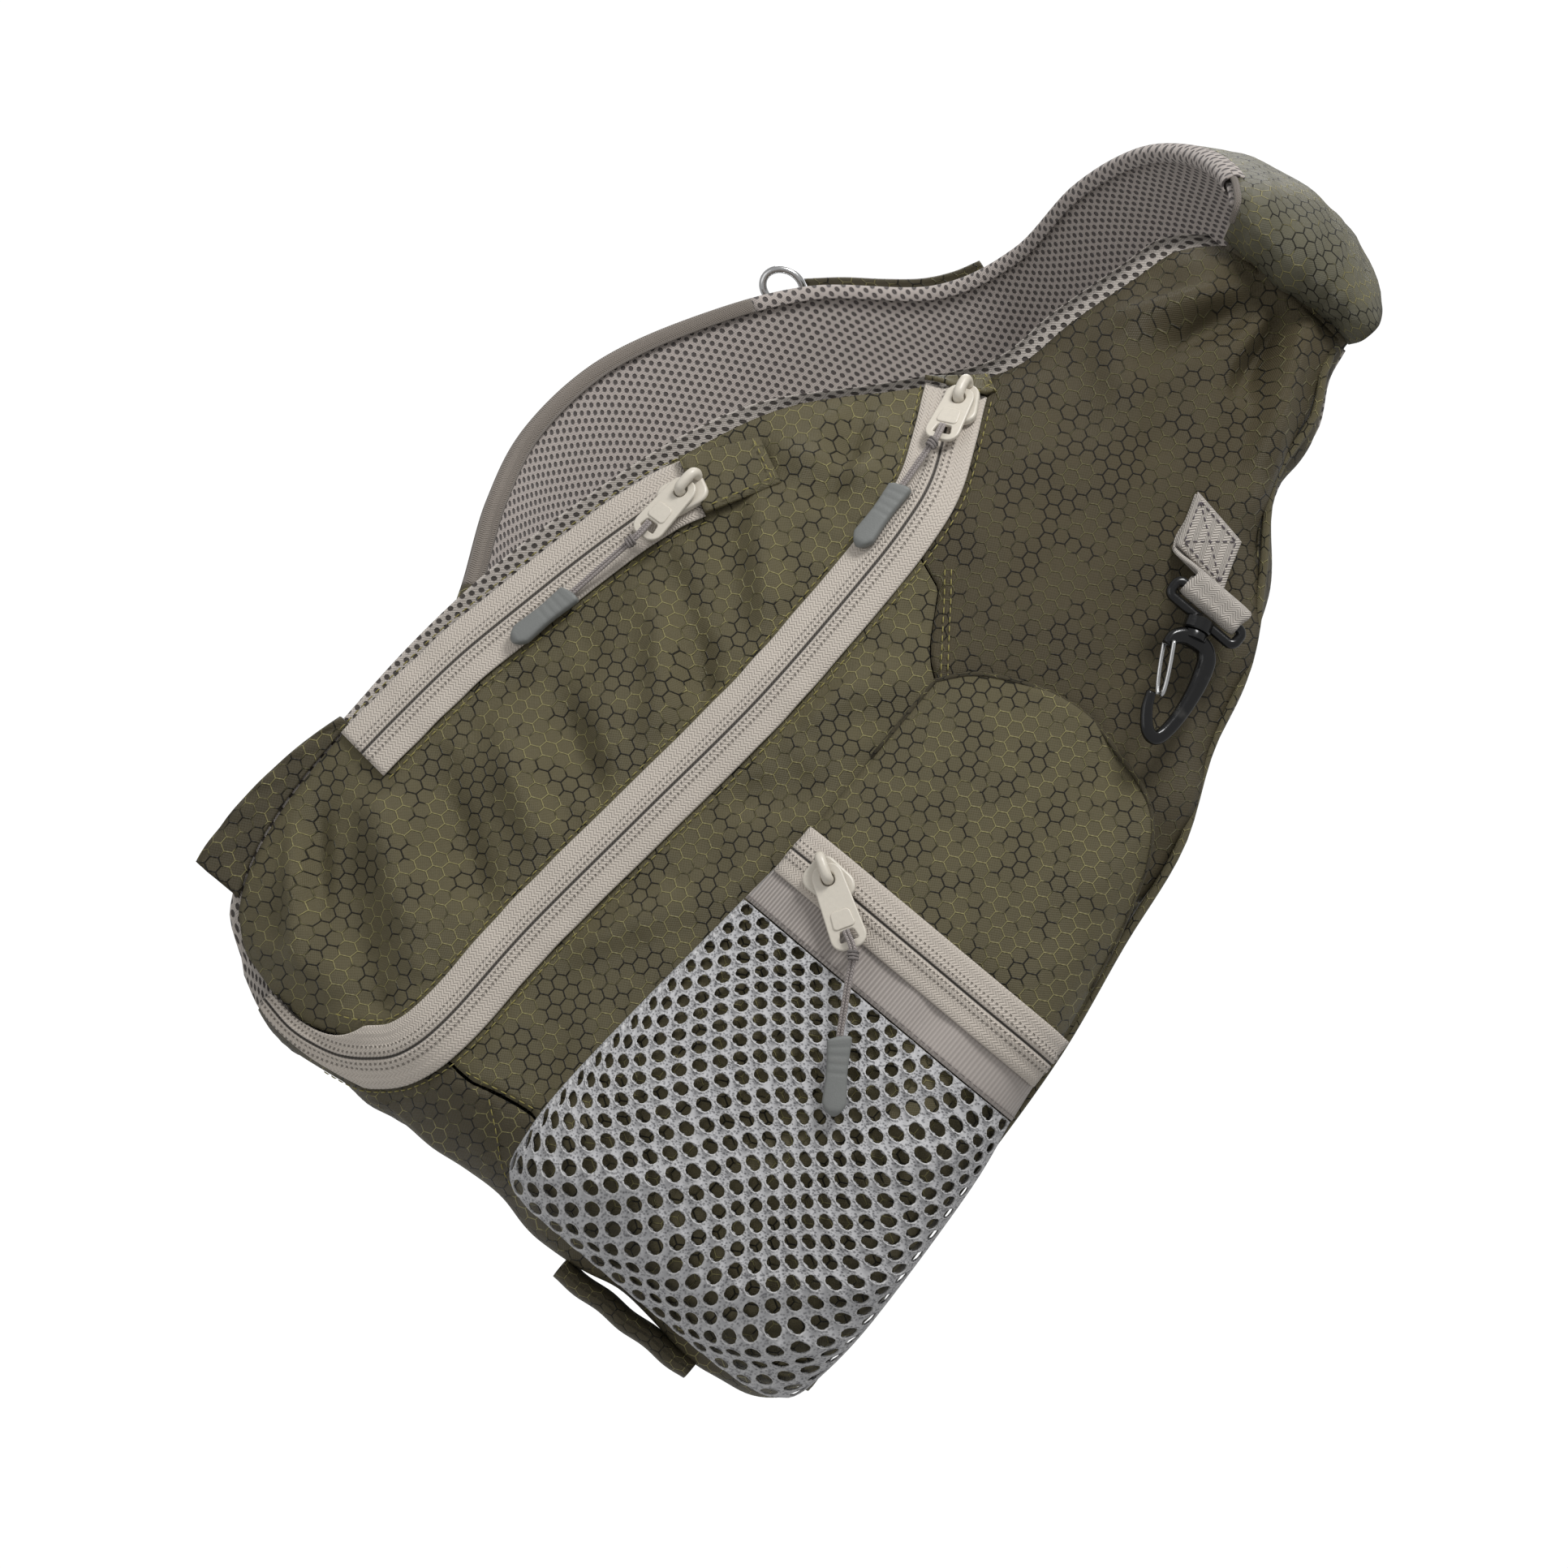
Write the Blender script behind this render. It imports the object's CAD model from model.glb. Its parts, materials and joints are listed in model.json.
"""Looks of the sling pack: its cloth, net, zips, webbing, hook and padded strap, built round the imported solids.

Every piece is worked out upright in the pack's own frame, in metres: x across, y from the front to the back,
z up. worn() then leans it as the pack is worn. Tables hold percentages of the sizes named beside them.
"""
import json
import math

import bmesh
import bpy
import numpy as np
from mathutils import Matrix, Vector

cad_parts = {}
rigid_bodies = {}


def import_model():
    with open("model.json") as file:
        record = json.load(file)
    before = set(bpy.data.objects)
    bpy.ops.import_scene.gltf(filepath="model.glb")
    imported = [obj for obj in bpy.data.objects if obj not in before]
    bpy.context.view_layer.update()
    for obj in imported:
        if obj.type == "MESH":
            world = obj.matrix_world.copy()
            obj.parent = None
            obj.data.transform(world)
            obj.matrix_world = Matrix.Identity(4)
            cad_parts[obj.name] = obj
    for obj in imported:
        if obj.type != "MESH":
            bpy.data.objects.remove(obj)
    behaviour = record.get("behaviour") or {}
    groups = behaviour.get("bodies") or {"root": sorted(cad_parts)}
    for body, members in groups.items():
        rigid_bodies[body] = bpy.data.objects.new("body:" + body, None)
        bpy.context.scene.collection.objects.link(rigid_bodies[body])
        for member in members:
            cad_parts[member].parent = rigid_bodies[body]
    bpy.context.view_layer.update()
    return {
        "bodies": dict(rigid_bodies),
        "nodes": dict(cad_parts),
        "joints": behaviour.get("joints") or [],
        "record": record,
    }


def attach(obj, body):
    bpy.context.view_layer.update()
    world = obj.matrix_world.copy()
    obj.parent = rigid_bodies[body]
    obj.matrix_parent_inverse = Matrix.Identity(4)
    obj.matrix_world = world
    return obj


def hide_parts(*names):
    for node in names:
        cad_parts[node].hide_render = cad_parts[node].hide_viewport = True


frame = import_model()


def rows_of(columns, *rows):
    """A table's rows as dictionaries, from its column names and the values of each row."""
    return tuple(dict(zip(columns.split(), row)) for row in rows)


# Driving dimensions, as in the pack's construction
WORN_LEAN = math.radians(40.0)
PACK_HEIGHT = 0.440
PACK_WIDTH = 0.290
PACK_DEPTH = 0.086
LOOP_DEPTH = 0.165
STRAP_THICK = 0.0085
STRAP_CROWN = 0.011
CLOTH = 0.0018
BACK_PAD = 0.008
TAPE = 0.0010
TAPE_REST = 0.0006
TAPE_WIDTH = 0.0230
POCKET_TAPE_WIDTH = 0.0205
BINDING_WIDTH = 0.0165
WEBBING = 0.0016
WEBBING_WIDTH = 0.0245
POCKET_RISE = 0.013
ZIP_SLOT = 0.012
CORD = 0.0026
CLEAR = 0.0003
SEAM = 0.0006
PAD_GAP = 0.0009

# How the front swells: up from the left rim, rolling back at the right seam and at the foot
LEFT_FULLNESS = 1.6
RIGHT_DROP = 0.30
RIGHT_RUN = 0.16
FOOT_DROP = 0.42
FOOT_HEIGHT = 0.046
UNDER_SLOPE = 0.48
UNDER_ROUND = 0.012
ROLL_POWER = 3.0
RIGHT_SEAM_INSET = 0.005
LEFT_STRIP = 0.004
LID_FOOT = 0.0055
GUSSET_SWELL = 0.004
RIM = BACK_PAD + CLEAR + CLOTH

# Outline: height % of PACK_HEIGHT; left and right edge % of PACK_WIDTH; depth % of PACK_DEPTH;
# run, the share of the width over which the front climbs from the left rim
OUTLINE = rows_of(
    "height left right depth run",
    (1.4, -37.9, 44.1, 92, 66),
    (4.5, -44.5, 49.2, 97, 72),
    (12.7, -48.6, 50.3, 100, 75),
    (26.1, -48.7, 49.3, 100, 75),
    (39.5, -45.9, 47.9, 98, 75),
    (50.0, -42.3, 45.2, 93, 75),
    (59.1, -37.9, 43.1, 87, 72),
    (66.6, -32.3, 38.4, 79, 68),
    (74.1, -22.1, 35.3, 69, 60),
    (80.5, -14.1, 29.7, 60, 50),
    (87.0, -11.9, 23.3, 50, 42),
    (93.6, -9.1, 22.0, 40, 34),
    (97.3, -7.4, 19.1, 34, 28),
    (100.0, -3.3, 18.3, 29, 24),
)
# Bottom edge: across % of PACK_WIDTH, height % of PACK_HEIGHT
BOTTOM_EDGE = rows_of(
    "across height",
    (-38.6, 1.6),
    (-33.1, -0.1),
    (-27.9, -0.6),
    (-20.7, 0.0),
    (-12.0, 0.8),
    (-1.7, 1.3),
    (10.3, 1.4),
    (27.6, 1.8),
    (42.4, 2.3),
    (47.6, 3.2),
    (49.7, 5.0),
)
# Seams and zips on the front: (across % of PACK_WIDTH, height % of PACK_HEIGHT)
MAIN_ZIP = ((-15.9, 76.2), (-13.4, 72.7), (-10.9, 68.9), (-9.9, 65.2), (-9.5, 59.3), (-9.8, 46.1), (-11.6, 33.0),
            (-13.4, 19.8), (-13.9, 10.0), (-15.4, 5.6), (-18.4, 3.2), (-22.6, 1.4), (-28.0, 0.5), (-33.4, 0.8))
MAIN_ZIP_CORNER = 9
SIDE_ZIP = ((-33.4, 56.0), (-35.7, 52.6), (-38.2, 46.2), (-40.3, 39.5), (-42.2, 32.8), (-43.3, 25.9), (-43.8, 21.5))
POCKET_ZIP = ((5.2, 38.4), (25.0, 38.5), (45.6, 38.3))
POCKET_BINDING = ((5.0, 34.8), (25.0, 34.9), (46.4, 34.6))
UPPER_SEAM = ((-3.5, 63.9), (5.4, 56.4), (22.0, 54.2), (43.0, 53.4))
LOWER_SEAM = ((-8.0, 7.2), (1.3, 8.4), (20.0, 8.4), (48.9, 8.4))
POCKET_ARCH = ((5.4, 56.4), (8.6, 58.8), (13.0, 60.5), (17.5, 61.6), (23.0, 62.0), (28.0, 61.3), (33.0, 60.4),
               (36.6, 58.6), (39.5, 55.7))
POCKET_LEFT = ((3.0, 5.4), (2.3, 10.5), (3.0, 19.8), (4.6, 33.0), (5.4, 41.0), (5.4, 56.4))
POCKET_RIGHT = ((48.9, 5.6), (49.4, 13.2), (48.2, 26.4), (46.4, 33.5), (44.9, 40.6), (42.4, 49.4), (39.5, 55.7))
NET_FOOT = ((3.0, 5.4), (4.6, 3.6), (7.9, 2.7), (12.9, 2.6), (26.1, 2.7), (41.9, 2.9), (47.2, 3.9), (48.9, 5.6))
BOTTOM_SEAM = ((-4.2, 6.9), (-1.4, 5.4), (2.2, 3.2), (6.2, 1.9))
# Pocket swell: height % from its foot to the top of its arch, rise % of POCKET_RISE
POCKET_SWELL = rows_of(
    "height rise",
    (0, 0),
    (8, 58),
    (22, 100),
    (45, 86),
    (62, 60),
    (80, 42),
    (100, 4),
)
# Strap stations, left and right edge: x % of PACK_WIDTH, y % of LOOP_DEPTH, z % of PACK_HEIGHT;
# crown % of STRAP_CROWN, thick % of STRAP_THICK
STRAP = rows_of(
    "left right crown thick",
    ((-2.6, -14.2, 100.12), (18.0, -13.4, 100.12), 0, 225),
    ((-3.4, -20.0, 101.6), (19.0, -20.0, 101.0), 30, 90),
    ((-4.9, -20.0, 103.6), (19.2, -20.5, 103.0), 60, 65),
    ((-8.0, -6.0, 106.0), (17.6, -8.0, 105.6), 90, 80),
    ((-13.0, 18.0, 106.8), (16.0, 18.0, 105.6), 80, 100),
    ((-18.2, 38.0, 104.6), (13.6, 42.0, 102.4), 45, 100),
    ((-21.6, 60.0, 99.6), (11.0, 64.0, 96.4), 30, 100),
    ((-22.6, 82.0, 92.4), (8.0, 86.0, 87.4), 30, 100),
    ((-28.0, 92.0, 85.0), (2.0, 98.0, 76.6), 30, 100),
    ((-41.4, 94.0, 77.4), (-8.0, 103.0, 66.0), 30, 100),
    ((-50.6, 90.0, 68.6), (-17.0, 102.0, 58.0), 30, 100),
    ((-56.8, 78.0, 59.4), (-24.4, 95.0, 50.4), 30, 100),
    ((-58.0, 62.0, 50.6), (-28.6, 81.0, 43.0), 30, 100),
    ((-55.2, 46.0, 43.6), (-31.0, 64.0, 37.0), 30, 100),
    ((-50.0, 31.0, 36.6), (-33.0, 46.0, 31.4), 30, 96),
    ((-46.4, 20.0, 30.6), (-36.0, 30.0, 27.0), 20, 90),
)
SEAT_STATION = 4.5
ROOT_STATIONS = 3
ROOT_STEPS = 9
STRAP_STEPS = 24
BINDING_FROM, BINDING_TO = 22, 32
TRIM_FROM, TRIM_TO = 18, 22
TRIM_WIDTH = 0.020
TRIM_RING = 0.0075
TRIM_WIRE = 0.0015
BUCKLE_AT = 5
BUCKLE_THICK = 0.004
BUCKLE_LENGTH = 0.015
BUCKLE_REST = 0.0014
ROLL_GATHER = 0.0012
EDGE_TURN = 0.55

# Lower webbing: out of the pad's end, a bend (as for the strap), then x and z where it lies on the wing's back
LOWER_LEAD = 0.008
LOWER_BEND = (-43.8, 10.5, 20.9)
LOWER_WEBBING_END = ((-45.9, 14.4), (-47.0, 10.6))
LOWER_WIDTH = 0.0245
LOWER_REST = 0.0005
WING_LAP = 0.010
WING = rows_of(
    "height width",
    (5.6, 6.2),
    (9.0, 4.6),
    (14.0, 3.2),
    (19.0, 1.8),
    (22.6, 0.5),
)
TUNNEL_LEFT, TUNNEL_RIGHT = 16.5, 37.1
TUNNEL_DEPTH = 0.020
TUNNEL_HEIGHT = 0.0085
TUNNEL_SETBACK = 0.001

# Zip hardware; places % as for the seams, pull % of PULL_LENGTH
SLIDER = Vector((0.0100, 0.0030, 0.0150))
PULL_LENGTH = 0.0200
PULL_WIDTH = 0.0125
PULL_THICK = 0.0016
TAB_LENGTH = 0.0285
TAB_WIDTH = 0.0088
TAB_THICK = 0.0042
TAB_SOCKET = 0.0120
TAB_REST = 0.0022
SLIDER_REST = 0.0007
PULL_REST = 0.0007
GARAGE_GAP = 0.0006
KNOT_AT = 0.0080
KNOT_LENGTH = 0.0030
KNOT_TURNS = 2.5
# Far corners of the zip garages, right and left: across % of PACK_WIDTH, height % of PACK_HEIGHT
GARAGES = {"main": ((-12.2, 78.3), (-14.0, 79.0)), "side": ((-25.3, 61.0), (-31.1, 62.8))}
HARDWARE = rows_of(
    "zip slider pull_end tab end pull",
    ("main", (-13.9, 75.2), (-12.95, 72.2), (-12.9, 66.9), (-12.3, 60.5), 90),
    ("side", (-33.3, 55.0), (-33.5, 50.2), (-36.0, 42.9), (-37.8, 36.6), 100),
    ("pocket", (12.05, 38.3), (19.6, 35.1), (24.1, 29.5), (28.95, 24.8), 125),
)

# Snap hook, in its own frame: x across, y into the pack, z up the swivel's axis, zero at the swivel
HOOK_SWIVEL = (25.3, 73.1)
HOOK_TIP = (30.9, 62.2)
HOOK_LIFT = 0.0150
HOOK_BAR = 0.0026
HOOK_WIDTH = 0.0190
HOOK_LENGTH = 0.0495
HOOK_TURN = math.radians(18.0)
BARREL_RADIUS = 0.0053
BARREL_TOP = 0.0004
BARREL_HEIGHT = 0.0051
STEM_RADIUS = 0.0018
STEM_CLEAR = 0.0003
STEM_HEAD = 0.0029
STEM_HEAD_HEIGHT = 0.0014
BARREL_ROOF = 0.0010
HOOK_SWELL = (0.95, 1.05, 1.25, 1.3, 1.3, 1.35, 1.35, 1.2, 1.05, 1.0, 1.0, 0.95, 0.85, 0.7)
RING_WIDTH = 0.0297
RING_HEIGHT = 0.0066
RING_CORNER = 0.0023
RING_BAR = 0.0019
GATE_WIRE = 0.0008
HOOK_PATCH = ((19.2, 81.4), (21.3, 77.2))
HOOK_PATCH_LEAN = math.radians(9)
PATCH_REST = 0.0007
# The hook's bar from its gate nub over the spine to its nose: x % of HOOK_WIDTH, z % of HOOK_LENGTH
HOOK_BAR_ROUTE = ((-45, -28), (-39, -21), (-20, -16.5), (4, -16), (28, -18), (41, -25), (43, -35), (40, -50),
                  (29, -70), (11, -88), (-6, -94.5), (-25, -91), (-40, -78), (-44, -65))

# Fineness of the cloth, and its weave
CELL = 0.0024
HEX_PITCH = 0.0054
HEX_LINE = 0.064
LIT_PATCHES = 85.0
LIT_FROM, LIT_TO = 0.45, 0.57
MESH_PITCH = 0.0034
NET_PITCH = 0.0092
NET_ROW = 0.0050
NET_HOLE = 0.0054
LINING_GAP = 0.0024
NEEDLE_ROWS = (0.0019, 0.0039)
NEEDLE_STEP = 0.0018
STITCH_LENGTH = 0.0026
STITCH_GAP = 0.0010
THREAD = 0.00032

# The cloth's folds on the front: ends % as for the seams, width % of FOLD_WIDTH, rise % of FOLD_RISE
FOLD_WIDTH = 0.010
FOLD_RISE = 0.0100
FOLDS = rows_of(
    "from to width rise",
    ((-27.0, 59.0), (-12.5, 50.0), 70, 45),
    ((-30.0, 50.0), (-12.0, 42.0), 60, -38),
    ((-26.0, 47.0), (-14.0, 37.0), 70, 55),
    ((-31.0, 36.0), (-14.5, 31.0), 60, -45),
    ((-33.0, 31.0), (-16.0, 24.5), 85, 60),
    ((-36.0, 25.0), (-17.0, 17.5), 70, -50),
    ((-40.0, 20.0), (-22.0, 12.5), 90, 60),
    ((-44.0, 15.5), (-36.0, 9.0), 45, -55),
    ((-42.5, 12.5), (-33.0, 5.0), 50, 45),
    ((-34.0, 12.0), (-20.0, 5.5), 80, -35),
    ((-27.5, 63.0), (-17.0, 66.0), 60, 40),
    ((-24.0, 71.0), (-20.0, 62.0), 55, -40),
    ((6.0, 98.5), (-1.0, 88.0), 65, -70),
    ((9.5, 98.5), (11.0, 91.0), 45, -95),
    ((12.5, 98.8), (18.0, 88.0), 60, 75),
    ((3.0, 97.5), (-5.0, 90.0), 50, 45),
    ((15.5, 98.0), (22.0, 80.0), 80, 60),
    ((4.0, 90.0), (10.0, 76.0), 120, -35),
    ((1.0, 54.0), (-7.0, 45.0), 60, 35),
    ((2.0, 44.0), (-7.5, 36.0), 70, -35),
    ((1.0, 31.0), (-9.0, 21.0), 70, 35),
)
# The net, drawn into slanted folds: places as shares across and up, width as a share, rise in metres
NET_DRAW = 0.022
NET_FOLDS = rows_of(
    "from to width rise",
    ((0.02, 0.02), (0.42, 0.34), 0.035, 0.0022),
    ((0.10, 0.00), (0.55, 0.16), 0.030, 0.0020),
    ((0.25, 0.00), (0.62, 0.05), 0.025, -0.0016),
    ((0.98, 0.30), (0.62, 0.02), 0.035, 0.0024),
    ((0.97, 0.16), (0.72, 0.01), 0.030, -0.0020),
    ((0.99, 0.52), (0.55, 0.10), 0.040, 0.0018),
    ((0.93, 0.97), (0.70, 0.62), 0.035, 0.0022),
    ((0.82, 0.98), (0.62, 0.70), 0.030, -0.0018),
    ((0.70, 0.98), (0.50, 0.74), 0.030, 0.0016),
)
# Ripples that run out from the sewn edges
PUCKER_RISE = 0.0007
PUCKER_REACH = 0.011
PUCKER_PITCH = 0.017
CRUMPLE = 0.0011
# The padded back: how far its left edge bulges out and forward, and the channels pressed across it
BACK_BULGE = 0.0036
EDGE_RISE = 0.0052
CHANNEL_HEIGHTS = np.arange(0.06, 0.40, 0.068)
CHANNEL_DEPTH = 0.0016
CHANNEL_WIDTH = 0.0035
# Radii of the piping, and the cloth's rise towards the strap's root: up the y axis, up the z axis
SIDE_PIPING = 0.0017
BACK_PIPING = 0.0016
POCKET_PIPING = 0.0009
ROLL_PIPING = 0.0014
NECK_RISE = ((0, 0), (0.0004, 0.003), (0.0030, 0.0065), (0.0075, 0.0085), (0.0130, 0.0085))

# The camera looks level at a point of the upright pack
VIEW_TARGET = (-0.0026, -0.07, 0.1853)
VIEW_DISTANCE = 2.2
VIEW_HALF = 0.28

# Light: the surround's strength as a light and as seen, and the lights, sizes in m and powers in W
SURROUND, SEEN_WHITE = 0.46, 1.05
LIGHT_TARGET = (-0.17, 0.0, -0.2)
LIGHTS = rows_of(
    "name place size power",
    ("key", (0.7, -1.1, 1.5), 0.6, 34),
    ("fill", (-1.4, -1.3, 0.4), 1.4, 5),
    ("rim", (0.1, 1.4, 1.2), 1.0, 10),
)

# Colours, 0 to 255
OLIVE = (94, 87, 63)
OLIVE_LINE = (150, 142, 98)
OLIVE_DARK = (22, 20, 13)


# Tables, lines and the pack's surface

def share(value, size):
    return np.multiply(value, size) / 100.0


def table_value(table, key, column, at):
    """One column of a table at a key, on a smooth curve through the rows."""
    keys = np.array([row[key] for row in table], float)
    values = np.array([row[column] for row in table], float)
    at = np.clip(at, keys[0], keys[-1])
    span = np.clip(np.searchsorted(keys, at, side="right") - 1, 0, len(keys) - 2)
    index = np.arange(len(keys))
    low, high = np.maximum(index - 1, 0), np.minimum(index + 1, len(keys) - 1)
    slope = (values[high] - values[low]) / (keys[high] - keys[low])
    width = keys[span + 1] - keys[span]
    s = (at - keys[span]) / width
    return (values[span] * (1 + 2 * s) * (1 - s) ** 2 + values[span + 1] * s * s * (3 - 2 * s)
            + slope[span] * width * s * (1 - s) ** 2 - slope[span + 1] * width * s * s * (1 - s))


def curve_between(a, b, c, d, s):
    """A smooth curve from b to c, led in by a and out by d, at shares s of the way."""
    return 0.5 * (2 * b + (c - a) * s + (2 * a - 5 * b + 4 * c - d) * s ** 2 + (3 * b - a - 3 * c + d) * s ** 3)


def smooth_route(points, steps=10):
    """Dense points on a smooth curve through a few points."""
    points = np.array(points, float)
    ends = np.vstack([2 * points[0] - points[1], points, 2 * points[-1] - points[-2]])
    s = np.arange(steps)[:, None] / steps
    spans = [curve_between(*four, s) for four in zip(ends, ends[1:], ends[2:], ends[3:])]
    return np.vstack([*spans, points[-1]])


def stacked(*columns):
    """Coordinates joined into points, each spread to the shape of all."""
    return np.stack(np.broadcast_arrays(*columns), axis=-1)


def turns(count):
    """Angles that divide a full turn."""
    return np.linspace(0, math.tau, count, endpoint=False)


def squared_off(value, power):
    """A cosine or sine pushed out towards the sides of a square."""
    return np.sign(value) * np.abs(value) ** power


def lengths_of(line):
    """Distance along a line at each of its points."""
    return np.concatenate([[0.0], np.cumsum(np.linalg.norm(np.diff(line, axis=0), axis=1))])


def evenly(line, count):
    """Count + 1 points at equal distances along a line of points."""
    line = np.asarray(line, float)
    lengths = lengths_of(line)
    targets = np.linspace(0.0, lengths[-1], count + 1)
    return np.stack([np.interp(targets, lengths, line[:, k]) for k in range(line.shape[1])], axis=1)


def on_pack(points):
    """Front places in percent as points across and up, in metres."""
    return share(np.array(points, float), np.array([PACK_WIDTH, PACK_HEIGHT]))


def seam(points, steps=6):
    return smooth_route(on_pack(points), steps)


def unit(vectors):
    return vectors / np.maximum(np.linalg.norm(vectors, axis=-1, keepdims=True), 1e-12)


def along_of(line):
    """Direction of a line at each of its points."""
    ends = np.vstack([2 * line[0] - line[1], line, 2 * line[-1] - line[-2]])
    return unit(ends[2:] - ends[:-2])


def beside(line, distance):
    """A line beside a downward one, at one distance or at one for each point."""
    along = along_of(line)
    return line + stacked(-along[:, 1], along[:, 0]) * np.reshape(distance, (-1, 1))


def outline(column, z):
    size = {"left": PACK_WIDTH, "right": PACK_WIDTH, "depth": PACK_DEPTH, "run": 1.0}[column]
    return share(table_value(OUTLINE, "height", column, z / PACK_HEIGHT * 100), size)


def bottom_edge(x):
    return share(table_value(BOTTOM_EDGE, "across", "height", x / PACK_WIDTH * 100), PACK_HEIGHT)


def half_tape(places):
    """Half the width of a tape, less where it reaches the bottom edge."""
    return np.minimum(TAPE_WIDTH / 2, places[:, 1] - bottom_edge(places[:, 0]) - SEAM)


def above_edge(line, height):
    """A line kept at least a height above the bottom edge."""
    return stacked(line[:, 0], np.maximum(line[:, 1], bottom_edge(line[:, 0]) + height))


def front(x, z):
    """Depth of the front cloth, as a negative y."""
    left, right = outline("left", z), outline("right", z)
    across = np.clip((x - left) / (right - left), 0.0, 1.0)
    rise = 1 - (1 - np.minimum(across / outline("run", z), 1.0)) ** LEFT_FULLNESS
    roll = 1 - RIGHT_DROP * np.maximum(0.0, (across - 1 + RIGHT_RUN) / RIGHT_RUN) ** ROLL_POWER
    foot_share = np.clip(1 - (z - bottom_edge(x)) / FOOT_HEIGHT, 0.0, 1.0)
    foot = 1 - FOOT_DROP * foot_share ** ROLL_POWER
    return -(RIM + (outline("depth", z) - RIM) * rise * roll * foot)


def skin(places):
    """The body's cloth at places across and up; below the bottom edge it runs back along the underside."""
    x, w = places[..., 0], places[..., 1]
    low = bottom_edge(x)
    under = np.maximum(low - w, 0.0)
    turned = np.minimum(under, UNDER_ROUND)
    height = np.maximum(w, low) - UNDER_SLOPE * turned * (1 - turned / (2 * UNDER_ROUND))
    return stacked(x, front(x, np.maximum(w, low)) + under, height)


def line_at(line, w):
    """Across position of an upward line at a height."""
    return np.interp(w, line[:, 1], line[:, 0])


def pocket_lift(places):
    """How far the pocket's cloth stands off the body."""
    x, w = places[..., 0], places[..., 1]
    left, right = line_at(POCKET_LEFT_LINE, w), line_at(POCKET_RIGHT_LINE, w)
    foot, top = share(NET_FOOT[3][1], PACK_HEIGHT), share(POCKET_ARCH[4][1], PACK_HEIGHT)
    across = 2 * (x - left) / (right - left) - 1
    side = np.maximum(0.0, 1 - np.abs(across) ** 4)
    rise = table_value(POCKET_SWELL, "height", "rise", (w - foot) / (top - foot) * 100)
    return CLOTH + 2 * CLEAR + share(rise, POCKET_RISE) * side


def normals_of(surface, places, step=0.002):
    """Outward directions of a surface at places."""
    right, up = np.array([step, 0.0]), np.array([0.0, step])
    return unit(np.cross(surface(places + right) - surface(places - right),
                         surface(places + up) - surface(places - up)))


def lifted(places, lift=0.0):
    """Points at a lift along the outward normal of the body."""
    return skin(places) + normals_of(skin, places) * np.asarray(lift)[..., None]


def on_pocket(places, lift=0.0):
    return lifted(places, pocket_lift(places) + lift)


def coons(bottom, top, left, right, across, upward):
    """A grid of places between four lines that meet at their ends."""
    b, t = evenly(bottom, across)[None], evenly(top, across)[None]
    l, r = evenly(left, upward)[:, None], evenly(right, upward)[:, None]
    u, v = np.linspace(0, 1, across + 1)[None, :, None], np.linspace(0, 1, upward + 1)[:, None, None]
    corners = ((1 - u) * (1 - v) * b[:, :1] + u * (1 - v) * b[:, -1:]
               + (1 - u) * v * t[:, :1] + u * v * t[:, -1:])
    return (1 - v) * b + v * t + (1 - u) * l + u * r - corners


def side_line(column, inset, low, high, steps=60):
    """An outline edge as an upward line of places, moved across by an inset."""
    z = np.linspace(low, high, steps + 1)
    return stacked(outline(column, z) + inset, z)


def between(line, low, high):
    """The stretch of an upward line between two heights."""
    inner = line[(line[:, 1] > low) & (line[:, 1] < high)]
    return np.vstack([[line_at(line, low), low], inner, [line_at(line, high), high]])


def joined(start, line, end):
    """A line with its two ends replaced."""
    return np.vstack([start, line[1:-1], end])


def strap_station(at):
    """Left edge, right edge, crown and thickness of the strap at a station number."""
    size = np.array([PACK_WIDTH, LOOP_DEPTH, PACK_HEIGHT]) / 100
    index = min(int(at), len(STRAP) - 2)
    s = at - index

    def column_at(column, scale):
        near = [STRAP[min(max(index + k, 0), len(STRAP) - 1)] for k in (-1, 0, 1, 2)]
        return curve_between(*(np.multiply(row[column], scale) for row in near), s)

    return (column_at("left", size), column_at("right", size), column_at("crown", STRAP_CROWN / 100),
            column_at("thick", STRAP_THICK / 100))


POCKET_LEFT_LINE = seam(POCKET_LEFT)
POCKET_RIGHT_LINE = seam(POCKET_RIGHT)
seat_left, seat_right, seat_crown, seat_thick = strap_station(SEAT_STATION)
SEAT = (seat_left + seat_right) / 2 - np.array([0, 0, CLOTH + CLEAR + seat_thick - seat_crown])
LEAN = Matrix.Rotation(WORN_LEAN, 4, "Y") @ Matrix.Translation(-Vector(SEAT))


def worn(points):
    """Points of the upright pack as it hangs."""
    lean = np.array(LEAN)
    return np.reshape(points, (-1, 3)) @ lean[:3, :3].T + lean[:3, 3]


# Node helpers

def linear(colour):
    channels = np.array(colour, float) / 255.0
    return (*np.where(channels <= 0.04045, channels / 12.92, ((channels + 0.055) / 1.055) ** 2.4), 1.0)


def node(tree, kind, inputs=(), **settings):
    """A shader node with its settings; inputs gives values or sockets by name or number."""
    made = tree.nodes.new(kind)
    for key, value in settings.items():
        setattr(made, key, value)
    for key, value in dict(inputs).items():
        if isinstance(value, bpy.types.NodeSocket):
            tree.links.new(value, made.inputs[key])
        else:
            made.inputs[key].default_value = value
    return made


def number(tree, operation, *values):
    return node(tree, "ShaderNodeMath", enumerate(values), operation=operation).outputs[0]


def arrow(tree, operation, *values, output=0):
    return node(tree, "ShaderNodeVectorMath", enumerate(values), operation=operation).outputs[output]


def scaled(tree, vector, factor):
    return node(tree, "ShaderNodeVectorMath", {0: vector, "Scale": factor}, operation="SCALE").outputs[0]


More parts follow.
